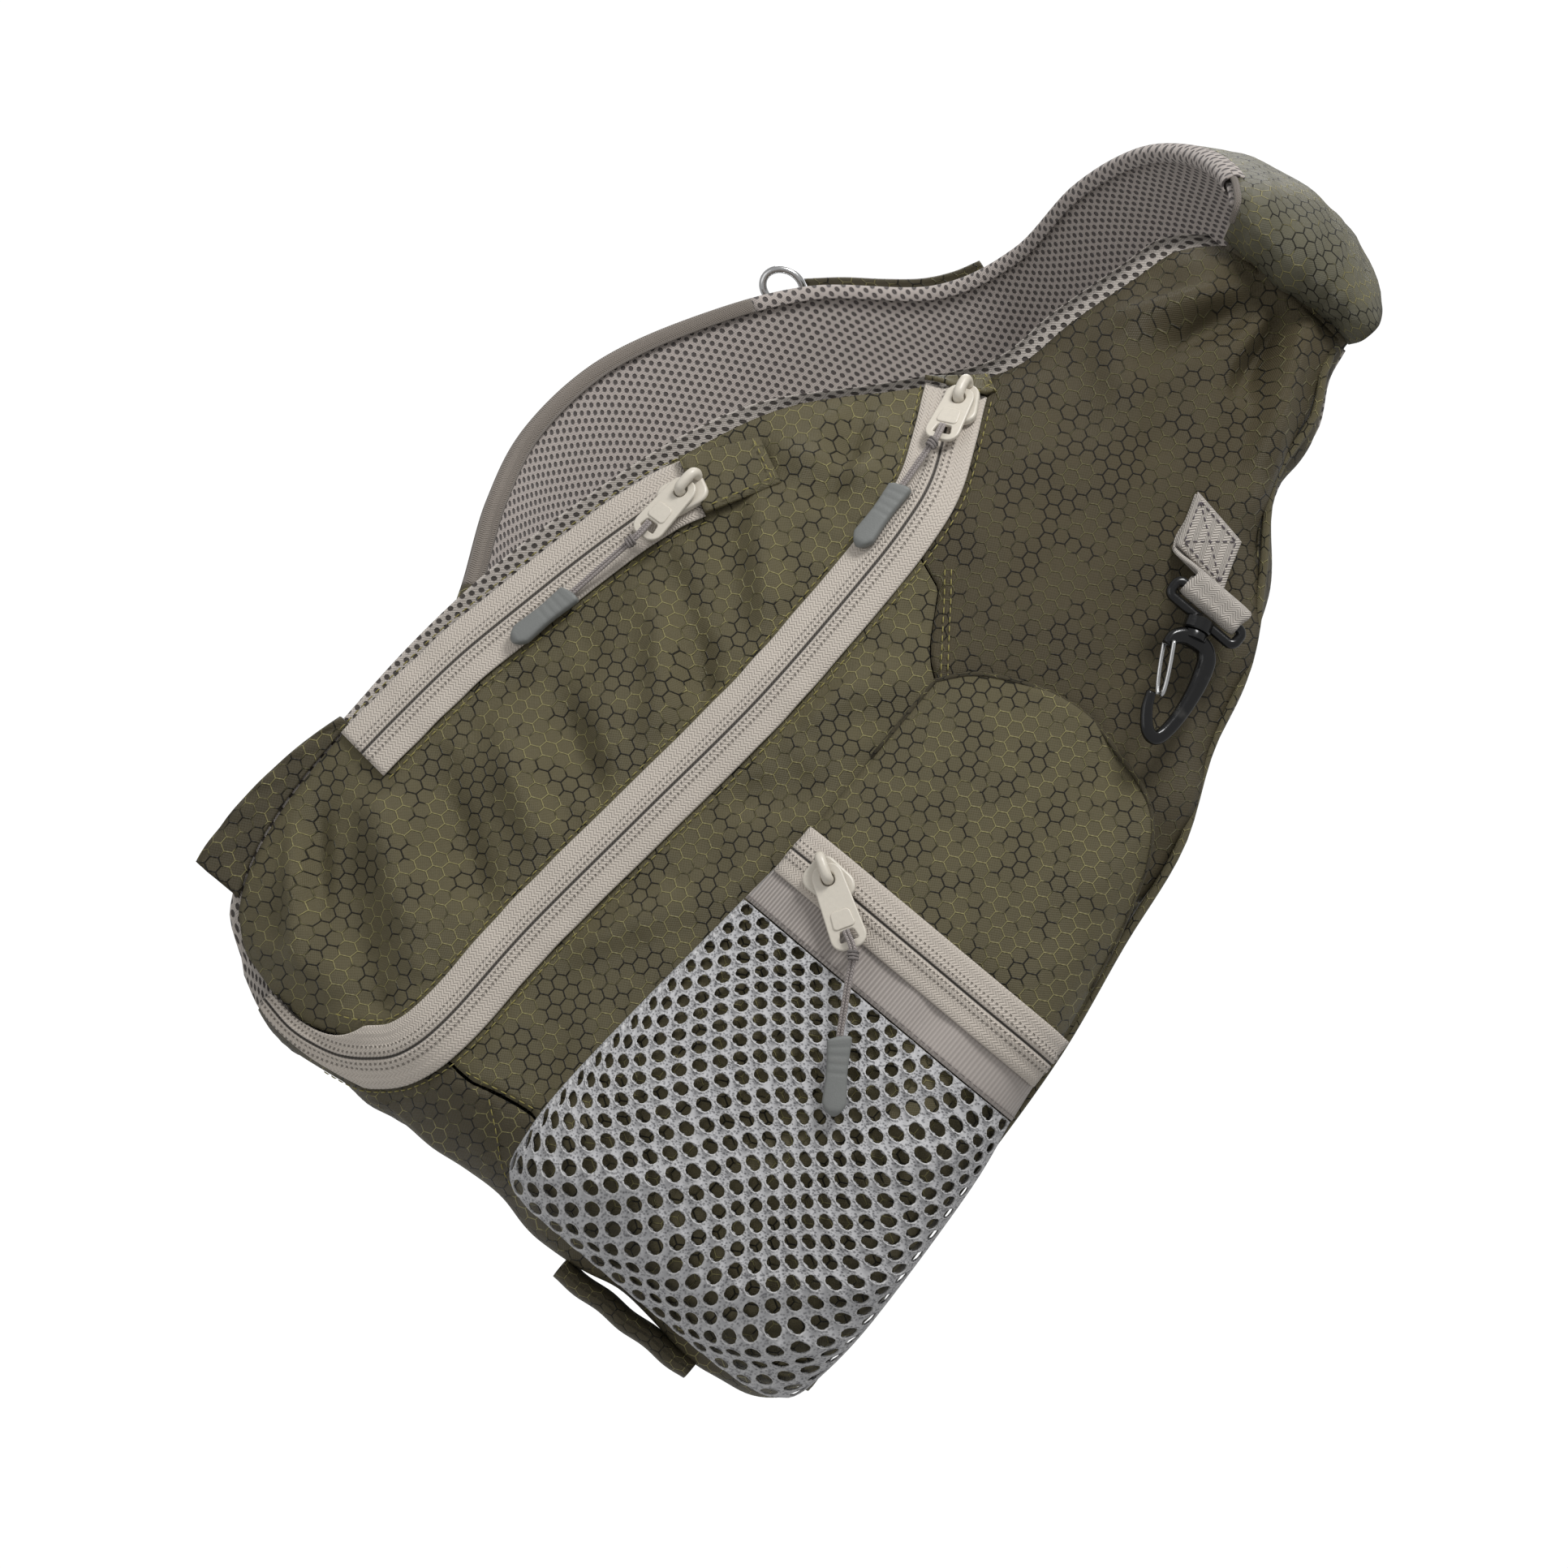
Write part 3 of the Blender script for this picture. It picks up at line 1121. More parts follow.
def body_panels():
    """Lid, upper, centre and bottom panels, cut along the zips and seams as in the construction."""
    route = smooth_route(on_pack(MAIN_ZIP), 8)
    corner = MAIN_ZIP_CORNER * 8
    slot = np.minimum(ZIP_SLOT / 2, half_tape(route))
    left_slot = above_edge(beside(route, -slot), LID_FOOT)
    right_slot = above_edge(beside(route, slot), LID_FOOT - SEAM)
    top = float(share(OUTLINE[-1]["height"], PACK_HEIGHT))
    right_seam = side_line("right", -RIGHT_SEAM_INSET, share(3.0, PACK_HEIGHT), top)
    left_rim = side_line("left", LEFT_STRIP, share(OUTLINE[0]["height"], PACK_HEIGHT), top)

    zip_down, zip_under = left_slot[:corner + 1], left_slot[corner:]
    rim = between(left_rim, share(2.4, PACK_HEIGHT), zip_down[0][1])
    right = zip_down[::-1]
    bottom = np.vstack([rim[:1], zip_under[::-1][:-1], right[:1]])
    grid = coons(bottom, np.array([rim[-1], right[-1]]), rim, right, cells(0.10), cells(0.34))
    cloth_panel("lid_cloth", grid, body_cloth, "olive", "lid_panel")

    split = seam(UPPER_SEAM)
    slot_up = right_slot[::-1]
    split[-1, 0] = line_at(right_seam, split[-1, 1])
    split[0, 0] = line_at(slot_up, split[0, 1])
    garage = slot_up[-1, 1]
    left = np.vstack([between(slot_up, split[0, 1], garage), between(left_rim, garage + TAPE_WIDTH / 2, top)])
    right = between(right_seam, split[-1, 1], top)
    grid = coons(split, np.array([left[-1], right[-1]]), left, right, cells(0.13), cells(0.19))
    cloth_panel("upper_cloth", grid, body_cloth, "olive_upper", "upper_panel")

    low = seam(LOWER_SEAM)
    low[0, 0] = line_at(slot_up, low[0, 1])
    low[-1, 0] = line_at(right_seam, low[-1, 1])
    left = between(slot_up, low[0, 1], split[0, 1] - SEAM)
    right = between(right_seam, low[-1, 1], split[-1, 1] - SEAM)
    upper = joined(left[-1], split - [0, SEAM], right[-1])
    grid = coons(joined(left[0], low, right[0]), upper, left, right, cells(0.17), cells(0.22))
    cloth_panel("centre_cloth", grid, body_cloth, "olive", "centre_panel")

    under_zip = right_slot[::-1][right_slot[::-1][:, 1] <= low[0, 1]]
    head = np.vstack([under_zip, low - [0, 2 * SEAM]])
    head = head[np.argsort(head[:, 0])]
    x = np.linspace(head[0, 0], head[-1, 0], cells(0.24))
    height, edge = np.interp(x, head[:, 0], head[:, 1]), bottom_edge(x)
    back = -front(x, edge) - BACK_PAD - CLEAR - SEAM
    levels = np.concatenate([np.linspace(-1, 0, 22)[:-1], np.linspace(0, 1, 16)])[:, None]
    w = np.where(levels > 0, edge + (height - edge) * levels, edge + back * levels)
    grid = stacked(x, w)
    cloth_panel("bottom_cloth", grid, body_cloth, "olive_deep", "bottom_panel")
    return right_seam, low, top


def side_wall(right_seam, low, top):
    """The right side, butted against the front cloth, and the piping sewn into the seam before it."""
    foot = bottom_edge(low[-1, 0]) + 2 * CLOTH + 2 * SEAM
    z = np.linspace(foot, top, cells(0.42))
    x = np.where(z > low[-1, 1], line_at(right_seam, z), low[-1, 0])
    places = stacked(x, z)
    start = lifted(places, -CLOTH - 3 * SEAM)
    u = np.linspace(0, 1, cells(0.07))[None, :, None]
    back = stacked(x, -BACK_PAD - CLEAR, z)
    depth = places[:, None, 1:] + 0 * u
    cross = np.concatenate([(start[:, None, 1:2] * (1 - u) + back[:, None, 1:2] * u), depth], axis=2)
    rows = start[:, None] * (1 - u) + back[:, None] * u
    rows[..., 2] = z[:, None]
    rows[..., 0] += (GUSSET_SWELL + crumple(cross, 0.0014)) * np.sin(math.pi * u[..., 0])
    sheet("side_cloth", rows, "olive_deep", ["side_gusset"], CLOTH, cross)
    edge = lifted(places[2:-2] + [0.0006, 0], -0.0004)
    tube("side_piping", edge, SIDE_PIPING, "olive", sides=8)
    back_seam = stacked(x - 0.0004, -BACK_PAD - CLEAR / 2, z)
    tube("back_piping", back_seam, BACK_PIPING, "olive_deep", sides=8)
    neck(top)


def neck(top):
    """Cloth that runs on from the body's top edge up under the strap's roll."""
    x = np.linspace(outline("left", top) + LEFT_STRIP, outline("right", top) - RIGHT_SEAM_INSET * 0.2, 30)
    edge = lifted(stacked(x, top - 0.002), -0.0006)
    rows = edge[None] + np.pad(NECK_RISE, ((0, 0), (1, 0)))[:, None]
    sheet("neck_cloth", rows, "olive_deep", ["upper_panel"], CLOTH * 0.5)


def padded_back():
    """The spacer-mesh back: a soft plate with a rounded rim and pressed channels across its back."""
    top, foot = (float(share(OUTLINE[k]["height"], PACK_HEIGHT)) for k in (-1, 0))
    sides = 64
    turn = turns(sides)
    cosine, sine = np.cos(turn), np.sin(turn)
    across = squared_off(cosine, 0.5)
    depth = squared_off(sine, 0.28)
    rings, places = [], []
    for t in np.linspace(0, 1, cells(0.43, 0.003)):
        z = foot + (top - foot) * t
        swell = float(smooth_step(z, 0.09, 0.18))
        left, right = outline("left", z) - BACK_BULGE * swell, outline("right", z) + 0.0002
        x = (left + right) / 2 + across * (right - left) / 2
        low = bottom_edge(x) - UNDER_SLOPE * UNDER_ROUND / 2 + CLOTH / 2
        height = low + (top - low) * t
        half = BACK_PAD / 2 * (0.6 + 0.4 * math.sqrt(min(t, 1 - t, 0.012) / 0.012))
        channel = CHANNEL_DEPTH * sum(np.exp(-((height - at) / CHANNEL_WIDTH) ** 2) for at in CHANNEL_HEIGHTS)
        back = np.where(depth > 0, half - channel * (1 - np.abs(across) ** 8), half)
        bulge = np.where((depth < 0) & (across < 0), swell * EDGE_RISE * np.abs(across) ** 30, 0.0)
        y = -BACK_PAD / 2 + depth * back - bulge
        ring = stacked(x, y, height)
        rings.append(ring)
        round_it = lengths_of(ring)
        places.append(stacked(round_it - round_it[sides // 2], height))
    rings = np.array(rings)
    obj = piece("padded_back", rings, ring_faces(len(rings), sides), "spacer_light", ["back_panel"],
                places=np.array(places), closed=True)


# The front pocket

def pocket():
    """Upper cloth, grosgrain band and net of the front pocket."""
    zip_height = share(POCKET_ZIP[1][1], PACK_HEIGHT)
    start = zip_height + POCKET_TAPE_WIDTH / 4
    left, right = (between(line, start, line[-1, 1]) for line in (POCKET_LEFT_LINE, POCKET_RIGHT_LINE))
    arch = joined(left[-1], seam(POCKET_ARCH), right[-1])
    grid = coons(np.array([left[0], right[0]]), arch, left, right, cells(0.12), cells(0.09))
    cloth_panel("pocket_cloth", grid, pocket_cloth, "olive", "pocket_panel")
    rim = np.vstack([left[4:], seam(POCKET_ARCH)[1:-1], right[::-1][:-4]])
    tube("pocket_piping", on_pocket(rim, -0.0002), POCKET_PIPING, "olive_deep", sides=8)

    foot = share(POCKET_BINDING[1][1], PACK_HEIGHT) - BINDING_WIDTH / 2
    grid = pocket_strip(foot, foot + BINDING_WIDTH, cells(0.13), 8)
    wave = 0.00035 * np.sin(grid[..., 0] * 190 + np.sin(grid[..., 0] * 70) * 2)
    cloth_panel("grosgrain_band", grid, lambda places: on_pocket(places, wave + 0.0002), "grosgrain",
                "pocket_binding")
    lines = [stitch_line(pocket_strip(foot + h, foot + h, 60, 0)[0], on_pocket, 0.0008)
             for h in (0.0014, BINDING_WIDTH - 0.0014)]
    stitches("grosgrain_stitching", lines, "grey_thread", 0.0022, 0.0009, 0.00022)
    net(float(foot - SEAM))
    left, right = (between(line, line[0, 1], foot) for line in (POCKET_LEFT_LINE, POCKET_RIGHT_LINE))
    foot_line = joined(left[0], seam(NET_FOOT), right[0])
    grid = coons(foot_line, [left[-1], right[-1]], left, right, cells(0.14), cells(0.13))
    cloth_panel("pocket_lining", grid, lambda places: pocket_cloth(places, -LINING_GAP), "olive", "pocket_panel",
                0.0004)


def pocket_strip(low, high, across, upward):
    """A grid of places between the pocket's two sides, from one height to another."""
    z = np.linspace(low, high, upward + 1)
    a, b = line_at(POCKET_LEFT_LINE, z)[:, None], line_at(POCKET_RIGHT_LINE, z)[:, None]
    x = a + (b - a) * np.linspace(0, 1, across + 1)[None]
    return stacked(x, z[:, None])


def stitch_line(places, surface, lift):
    """Points on a surface along places, with the outward directions there."""
    return surface(places, lift), normals_of(lambda p: surface(p, 0.0), places)


def net_place(u, v, head):
    """A place in the net from shares across and up, drawn into slanted folds at its corners."""
    foot_line = evenly(joined(POCKET_LEFT_LINE[0], seam(NET_FOOT), POCKET_RIGHT_LINE[0]), 60)
    steps = np.linspace(0, 1, 61)
    left, right = (evenly(between(line, line[0, 1], head), 60) for line in (POCKET_LEFT_LINE, POCKET_RIGHT_LINE))
    edge = np.minimum(np.minimum(u, 1 - u), np.minimum(v, 1 - v)) * 6
    u = u + NET_DRAW * np.clip(edge, 0, 1) * (np.sin(v * 5.0 + u * 3.0) * 0.6 + np.sin(u * 7 - v * 6) * 0.5)
    v = v + NET_DRAW * np.clip(edge, 0, 1) * (np.sin(u * 6.0 - 0.6) * 0.8 + np.sin((u + v) * 8) * 0.4)
    at = lambda line, t: stacked(*(np.interp(t, steps, line[:, k]) for k in (0, 1)))
    b, l, r = at(foot_line, u), at(left, v), at(right, v)
    t = left[-1] + (right[-1] - left[-1]) * u[..., None]
    uu, vv = u[..., None], v[..., None]
    corners = ((1 - uu) * (1 - vv) * foot_line[0] + uu * (1 - vv) * foot_line[-1]
               + (1 - uu) * vv * left[-1] + uu * vv * right[-1])
    return (1 - vv) * b + vv * t + (1 - uu) * l + uu * r - corners


def net_surface(u, v, head):
    """A point of the net from shares across and up, with its slanted folds."""
    lift = np.zeros(np.shape(u))
    for fold in NET_FOLDS:
        (a, b), (c, d) = fold["from"], fold["to"]
        run = np.array([c - a, d - b])
        t = np.clip(((u - a) * run[0] + (v - b) * run[1]) / (run @ run), 0, 1)
        away = np.hypot(u - a - t * run[0], v - b - t * run[1]) / fold["width"]
        lift += fold["rise"] * np.sin(math.pi * (0.1 + 0.8 * t)) * np.exp(-away ** 2)
    edge = np.clip(np.minimum(np.minimum(u, 1 - u), np.minimum(v, 1 - v)) * 12, 0, 1)
    places = net_place(u, v, head)
    return places, lift * edge


def net(head):
    """The knitted net: staggered cells round rows of open oval holes."""
    width = float(line_at(POCKET_RIGHT_LINE, 0.07) - line_at(POCKET_LEFT_LINE, 0.07))
    columns = int(round(width / NET_PITCH))
    rows = int(round((head - NET_FOOT_HEIGHT) / NET_ROW))
    corners = [(0, 0), (0.25, 0), (0.5, 0), (0.75, 0), (1, 0), (1, 0.5),
               (1, 1), (0.75, 1), (0.5, 1), (0.25, 1), (0, 1), (0, 0.5)]
    angles = np.radians([214, 236, 270, 304, 326, 0, 34, 56, 90, 124, 146, 180])
    u, v, rim, faces = [], [], [], []
    for row in range(rows):
        shift = 0.5 if row % 2 else 0.0
        for column in range(columns + row % 2):
            low, high = max(column - shift, 0.0), min(column - shift + 1.0, float(columns))
            whole = high - low > 0.9
            outer = [(low + (high - low) * a, row + b) for a, b in corners]
            middle = ((low + high) / 2, row + 0.5)
            base = len(u)
            loops = [(outer, 0.0)]
            for grow, shine in ((1.22, 0.45), (1.0, 1.0)):
                size = grow if whole else 0.4 * grow
                wide, high_up = size * NET_HOLE / 2 / NET_PITCH, size * NET_HOLE * 0.44 / NET_ROW
                hole = [(middle[0] + wide * math.cos(a), middle[1] + high_up * math.sin(a)) for a in angles]
                loops.append((hole, shine))
            for loop, shine in loops:
                u += [a / columns for a, b in loop]
                v += [b / rows for a, b in loop]
                rim += [shine] * len(loop)
            n = len(corners)
            for level in (0, 1):
                for k in range(n):
                    a, b = base + level * n + k, base + level * n + (k + 1) % n
                    faces.append([a, b, b + n, a + n])
            if not whole:
                faces.append([base + 2 * n + k for k in range(n)])
    places, lift = net_surface(np.array(u), np.array(v), head)
    points = on_pocket(places, lift + 0.00025 * np.sin(np.array(rim) * math.pi))
    obj = piece("net", points, faces, "net", ["net_pocket"], places=places)
    obj.data.attributes.new("rim", "FLOAT", "POINT").data.foreach_set("value", np.array(rim, np.float32))
    change_mesh(obj.data, bmesh.ops.remove_doubles, "verts", dist=0.00005)
    obj.data.shade_smooth()
    thicken(obj, 0.0009)


# Zips

def tape_profile(half):
    """Across positions and heights of a zip tape: flat edges, raised coil sides and a groove between them."""
    return np.array([(-half, -0.0004), (-half + 0.0005, 0.0001), (-half * 0.7, 0.0002), (-0.0050, 0.0002),
                     (-0.0042, 0.0004), (-0.0028, 0.0010), (-0.0014, 0.0010), (-0.0005, 0.0007), (0.0, -0.0001),
                     (0.0005, 0.0007), (0.0014, 0.0010), (0.0028, 0.0010), (0.0042, 0.0004), (0.0050, 0.0002),
                     (half * 0.7, 0.0002), (half - 0.0005, 0.0001), (half, -0.0004)])


def tape(name, line, halves, surface, node_name, base=TAPE + TAPE_REST):
    """A zip tape along a line; halves gives half its width at each point."""
    profile = tape_profile(halves.max())
    lengths = lengths_of(line)
    along = along_of(line)
    side = stacked(-along[:, 1], along[:, 0])
    across = profile[None, :, 0] * (halves / halves.max())[:, None]
    spots = line[:, None] + side[:, None] * across[..., None]
    waves = 0.0003 * np.sin(lengths * 160 + np.sin(lengths * 50) * 3)[:, None]
    edges = np.linspace(-1, 1, len(profile))[None] ** 2
    points = surface(spots, base + profile[None, :, 1] + waves * edges)
    places = stacked(across, lengths[:, None])
    sheet(name, points[::-1], "tape", [node_name], TAPE * 0.7, places[::-1])


def zips():
    for name, route in (("main", MAIN_ZIP), ("side", SIDE_ZIP)):
        line = smooth_route(on_pack(route), 8)
        line = evenly(line, cells(lengths_of(line)[-1], 0.0022))
        tape(name + "_tape", line, half_tape(line), lifted, name + "_zip_tape")
    line = on_pack(POCKET_ZIP)
    ends = pocket_strip(line[1, 1], line[1, 1], cells(0.12, 0.0022), 0)[0]
    half = np.full(len(ends), POCKET_TAPE_WIDTH / 2)
    tape("pocket_tape", ends[::-1], half, on_pocket, "pocket_zip_tape")


def rounded_outline(width, length, middle, corner, taper=1.0, steps=5):
    """Points round a plate with round corners, taper times as wide at its top."""
    points = []
    for quarter, (across, upward) in enumerate(((1, 1), (-1, 1), (-1, -1), (1, -1))):
        for step in range(steps + 1):
            angle = math.radians(90) * (quarter + step / steps)
            z = upward * (length / 2 - corner) + corner * math.sin(angle)
            narrow = 1 + (taper - 1) * (z / length + 0.5)
            points.append(((across * (width / 2 - corner) + corner * math.cos(angle)) * narrow, middle + z))
    return points


def plate(name, loops, thickness, bevel, finish, matrix, nodes=(), body="pack"):
    """A flat plate with holes and rounded edges, in a frame whose z is up and y goes in."""
    curve = bpy.data.curves.new(name, "CURVE")
    curve.dimensions = "2D"
    curve.fill_mode = "BOTH"
    curve.extrude = thickness / 2 - bevel
    curve.bevel_depth = bevel
    curve.bevel_resolution = 2
    for loop in loops:
        spline = curve.splines.new("POLY")
        spline.points.add(len(loop) - 1)
        for target, (x, z) in zip(spline.points, loop):
            target.co = (x, z, 0.0, 1.0)
        spline.use_cyclic_u = True
    source = bpy.data.objects.new(name + "_curve", curve)
    bpy.context.scene.collection.objects.link(source)
    mesh = bpy.data.meshes.new_from_object(source.evaluated_get(bpy.context.evaluated_depsgraph_get()))
    bpy.data.objects.remove(source, do_unlink=True)
    points = np.zeros(len(mesh.vertices) * 3)
    mesh.vertices.foreach_get("co", points)
    points = points.reshape(-1, 3)[:, [0, 2, 1]] * [1, -1, 1]
    faces = [list(face.vertices) for face in mesh.polygons]
    bpy.data.meshes.remove(mesh)
    return piece(name, points, faces, finish, nodes, body, closed=True, sharp=40, upright=matrix)


def hardware():
    """Slider, pull, twin cord and rubber tab of each zip."""
    for row in HARDWARE:
        name = row["zip"]
        surface = on_pocket if name == "pocket" else lifted
        slider_at, pull_end, tab_at, tab_end = on_pack((row["slider"], row["pull_end"], row["tab"], row["end"]))
        first, second = on_pack({"main": MAIN_ZIP, "side": SIDE_ZIP, "pocket": POCKET_ZIP}[name][:2])
        if name == "pocket":
            first, second = second, first
        at = lambda place, lift=0.0: surface(place[None], lift)[0]
        facing = lambda place: normals_of(surface, place[None], 0.003)[0]
        base = TAPE + TAPE_REST + SLIDER_REST
        out = facing(slider_at)
        seat = at(slider_at, base)
        slide = unit(at(first) - at(second))
        slider(name, frame_matrix(seat, slide, out))

        lift = base + SLIDER.y + PULL_REST + PULL_THICK / 2
        eye = at(slider_at) + out * lift
        pull_length = float(share(row["pull"], PULL_LENGTH))
        far = slider_at + unit(pull_end - slider_at) * pull_length
        hole = at(far) + facing(far) * lift
        matrix = frame_matrix(eye, eye - hole, out)
        pull_plate(name, matrix, pull_length)

        out_tab = facing(tab_at)
        tab_lift = TAB_THICK / 2 + TAB_REST
        head, tail = at(tab_at, tab_lift), at(tab_end, tab_lift)
        axis = unit(tail - head)
        tab = rubber_tab(name, frame_matrix(head, -axis, out_tab))

        run = unit(hole - eye)
        start = eye + run * pull_length * 0.82 + out * (PULL_THICK / 2 + CLEAR + CORD / 2)
        over = start + run * (pull_length * 0.18 + CORD * 1.4)
        end = head + axis * (TAB_SOCKET - CLEAR)
        points = smooth_route([start, over, over * 0.67 + head * 0.33, over * 0.33 + head * 0.67, head, end], 6)
        twin_cord(name, points, out)


def twin_cord(name, line, out):
    """Two thin strands side by side, with a wrap below the pull, as one free cord."""
    side = unit(np.cross(along_of(line), out))
    strands, faces = [], []
    sides = 8
    for sign in (-1, 1):
        rings = sweep(line + side * sign * CORD / 4, CORD / 4, sides)
        base = len(strands) * rings.shape[0] * sides
        strands.append(rings.reshape(-1, 3))
        faces += [[base + v for v in face] for face in ring_faces(len(rings), sides)]
    points = np.vstack(strands)
    lengths = lengths_of(line)
    places = np.tile(stacked(np.linspace(0, 0.004, sides), lengths[:, None]).reshape(-1, 2), (2, 1))
    cord = piece(name + "_cord", points, faces, "cord", [name + "_pull_cord"], places=places, closed=True)
    first = np.searchsorted(lengths, KNOT_AT)
    turn = np.linspace(0, math.tau * KNOT_TURNS, 60)[:, None]
    run, middle = unit(line[first + 1] - line[first]), line[first]
    coil = middle + run * turn / turn[-1] * KNOT_LENGTH
    coil += CORD * 0.62 * (np.cos(turn) * side[first] + np.sin(turn) * out)
    knot = tube(name + "_knot", coil, 0.0006, "cord", sides=8, nodes=[name + "_pull_cord"])


def slider(name, matrix):
    """Slider body: a rounded shield under the pull."""
    width, thick, length = SLIDER
    body = [rounded_outline(width * 1.3, length * 1.12, -length * 0.02, 0.0042, 0.84)]
    local = matrix @ Matrix.Translation((0, -thick / 2, 0))
    plate(name + "_slider", body, thick, 0.0009, "cream", local, [name + "_zip_slider"])


def pull_plate(name, matrix, pull_length):
    """The pull with its eye and the slot for the cord, and the slider's round bridge through the eye."""
    middle = -pull_length * 0.43
    length = pull_length + PULL_WIDTH * 0.5
    foot = middle - length / 2
    loops = [rounded_outline(PULL_WIDTH, length, middle, 0.0044, 0.80),
             rounded_outline(0.0058, 0.0062, -0.0002, 0.0027),
             rounded_outline(PULL_WIDTH * 0.66, 0.0048, foot + 0.0044, 0.0013, 0.74)]
    plate(name + "_pull", loops, PULL_THICK, 0.0005, "cream", matrix, [name + "_zip_pull"])
    relief = [rounded_outline(PULL_WIDTH * 0.60, 0.0060, foot + 0.0106, 0.0012, 0.86)]
    raised = matrix @ Matrix.Translation((0, -PULL_THICK * 0.30, 0))
    plate(name + "_pull_panel", relief, PULL_THICK, 0.0004, "cream", raised, [name + "_zip_pull"])
    bridge = smooth_route([(0, 0.0016, 0.0082), (0, -0.0006, 0.0084), (0, -0.0026, 0.0070), (0, -0.0031, 0.0036),
                           (0, -0.0026, 0.0004), (0, -0.0006, -0.0004), (0, 0.0016, -0.0003)], 6)
    tube(name + "_bridge", bridge, 0.0020, "cream", sides=16, reference=(1, 0, 0), nodes=[name + "_zip_slider"],
         upright=matrix)


def rubber_tab(name, matrix):
    """Rubber tab: waisted, with a slanted top, a round foot and short ridges."""
    steps, sides = 44, 20
    turn = turns(sides)
    rings = []
    for k in range(steps + 1):
        t = k / steps
        end = min(t / 0.035, 1.0) ** 0.5 * min((1 - t) / 0.16, 1.0) ** 0.5
        width = TAB_WIDTH / 2 * (0.93 + 0.07 * math.cos(t * math.tau * 1.1)) * max(end, 0.12)
        ridge = 0.00022 * max(0.0, math.sin(t * math.tau * 9)) if 0.12 < t < 0.5 else 0.0
        thick = TAB_THICK / 2 * max(min(t / 0.03, 1.0) ** 0.5 * min((1 - t) / 0.08, 1.0) ** 0.5, 0.15) - ridge
        x = squared_off(np.cos(turn), 0.55) * width
        y = squared_off(np.sin(turn), 0.55) * thick
        z = -TAB_LENGTH * t + 0.0010 * (1 - t) ** 6 * x / (TAB_WIDTH / 2) * 1.2
        rings.append(stacked(x, y, z))
    return piece(name + "_tab", np.array(rings), ring_faces(steps + 1, sides), "rubber", [name + "_pull_tab"],
                 closed=True, upright=matrix)


def garages():
    """Cloth tabs folded over the tops of the main and the side zip, with their topstitch."""
    lines = []
    for name, route in (("main", MAIN_ZIP), ("side", SIDE_ZIP)):
        first, second = on_pack(route[:2])
        up = unit(first - second)
        side = np.array([up[1], -up[0]]) * TAPE_WIDTH / 2
        near = first + up * GARAGE_GAP
        right, left = on_pack(GARAGES[name])
        places = coons([near - side, near + side], [left, right], [near - side, left],
                       [near + side, right], 15, 13)
        level = np.linspace(0, 1, 14)[:, None]
        rise = 0.0022 * np.exp(-level * 5) + 0.0005 * np.sin(np.linspace(0, 7, 16)[None] + level * 5) + 0.0007
        sheet(name + "_garage", lifted(places, CLOTH + rise), "olive", [name + "_zip_garage"], CLOTH, places)
        lines.append(stitch_line(places[-2, 1:-1], lifted, CLOTH + 0.0016))
        lines.append(stitch_line(places[1:-1, -2], lifted, CLOTH + 0.0026))
    return lines


# The snap hook

def turned(name, profile, finish, matrix, nodes=(), body="pack", sides=28):
    """A turned solid from radii and heights along its axis, its profile given from end to end."""
    turn = turns(sides)
    rings = [stacked(radius * np.cos(turn), radius * np.sin(turn), height) for radius, height in profile]
    piece(name, np.array(rings), ring_faces(len(rings), sides), finish, nodes, body, closed=True, sharp=35,
          upright=matrix)


def hook_frame():
    """The swivel's frame on the pack, its outward direction and how far the ring turns back in it."""
    swivel, tip = on_pack((HOOK_SWIVEL, HOOK_TIP))
    head, foot = lifted(swivel, HOOK_LIFT), lifted(tip, HOOK_LIFT)
    out = unit(lifted(swivel, 1.0) - lifted(swivel, 0.0))
    return frame_matrix(head, head - foot, out), out, math.atan2((tip - swivel)[0], -(tip - swivel)[1])


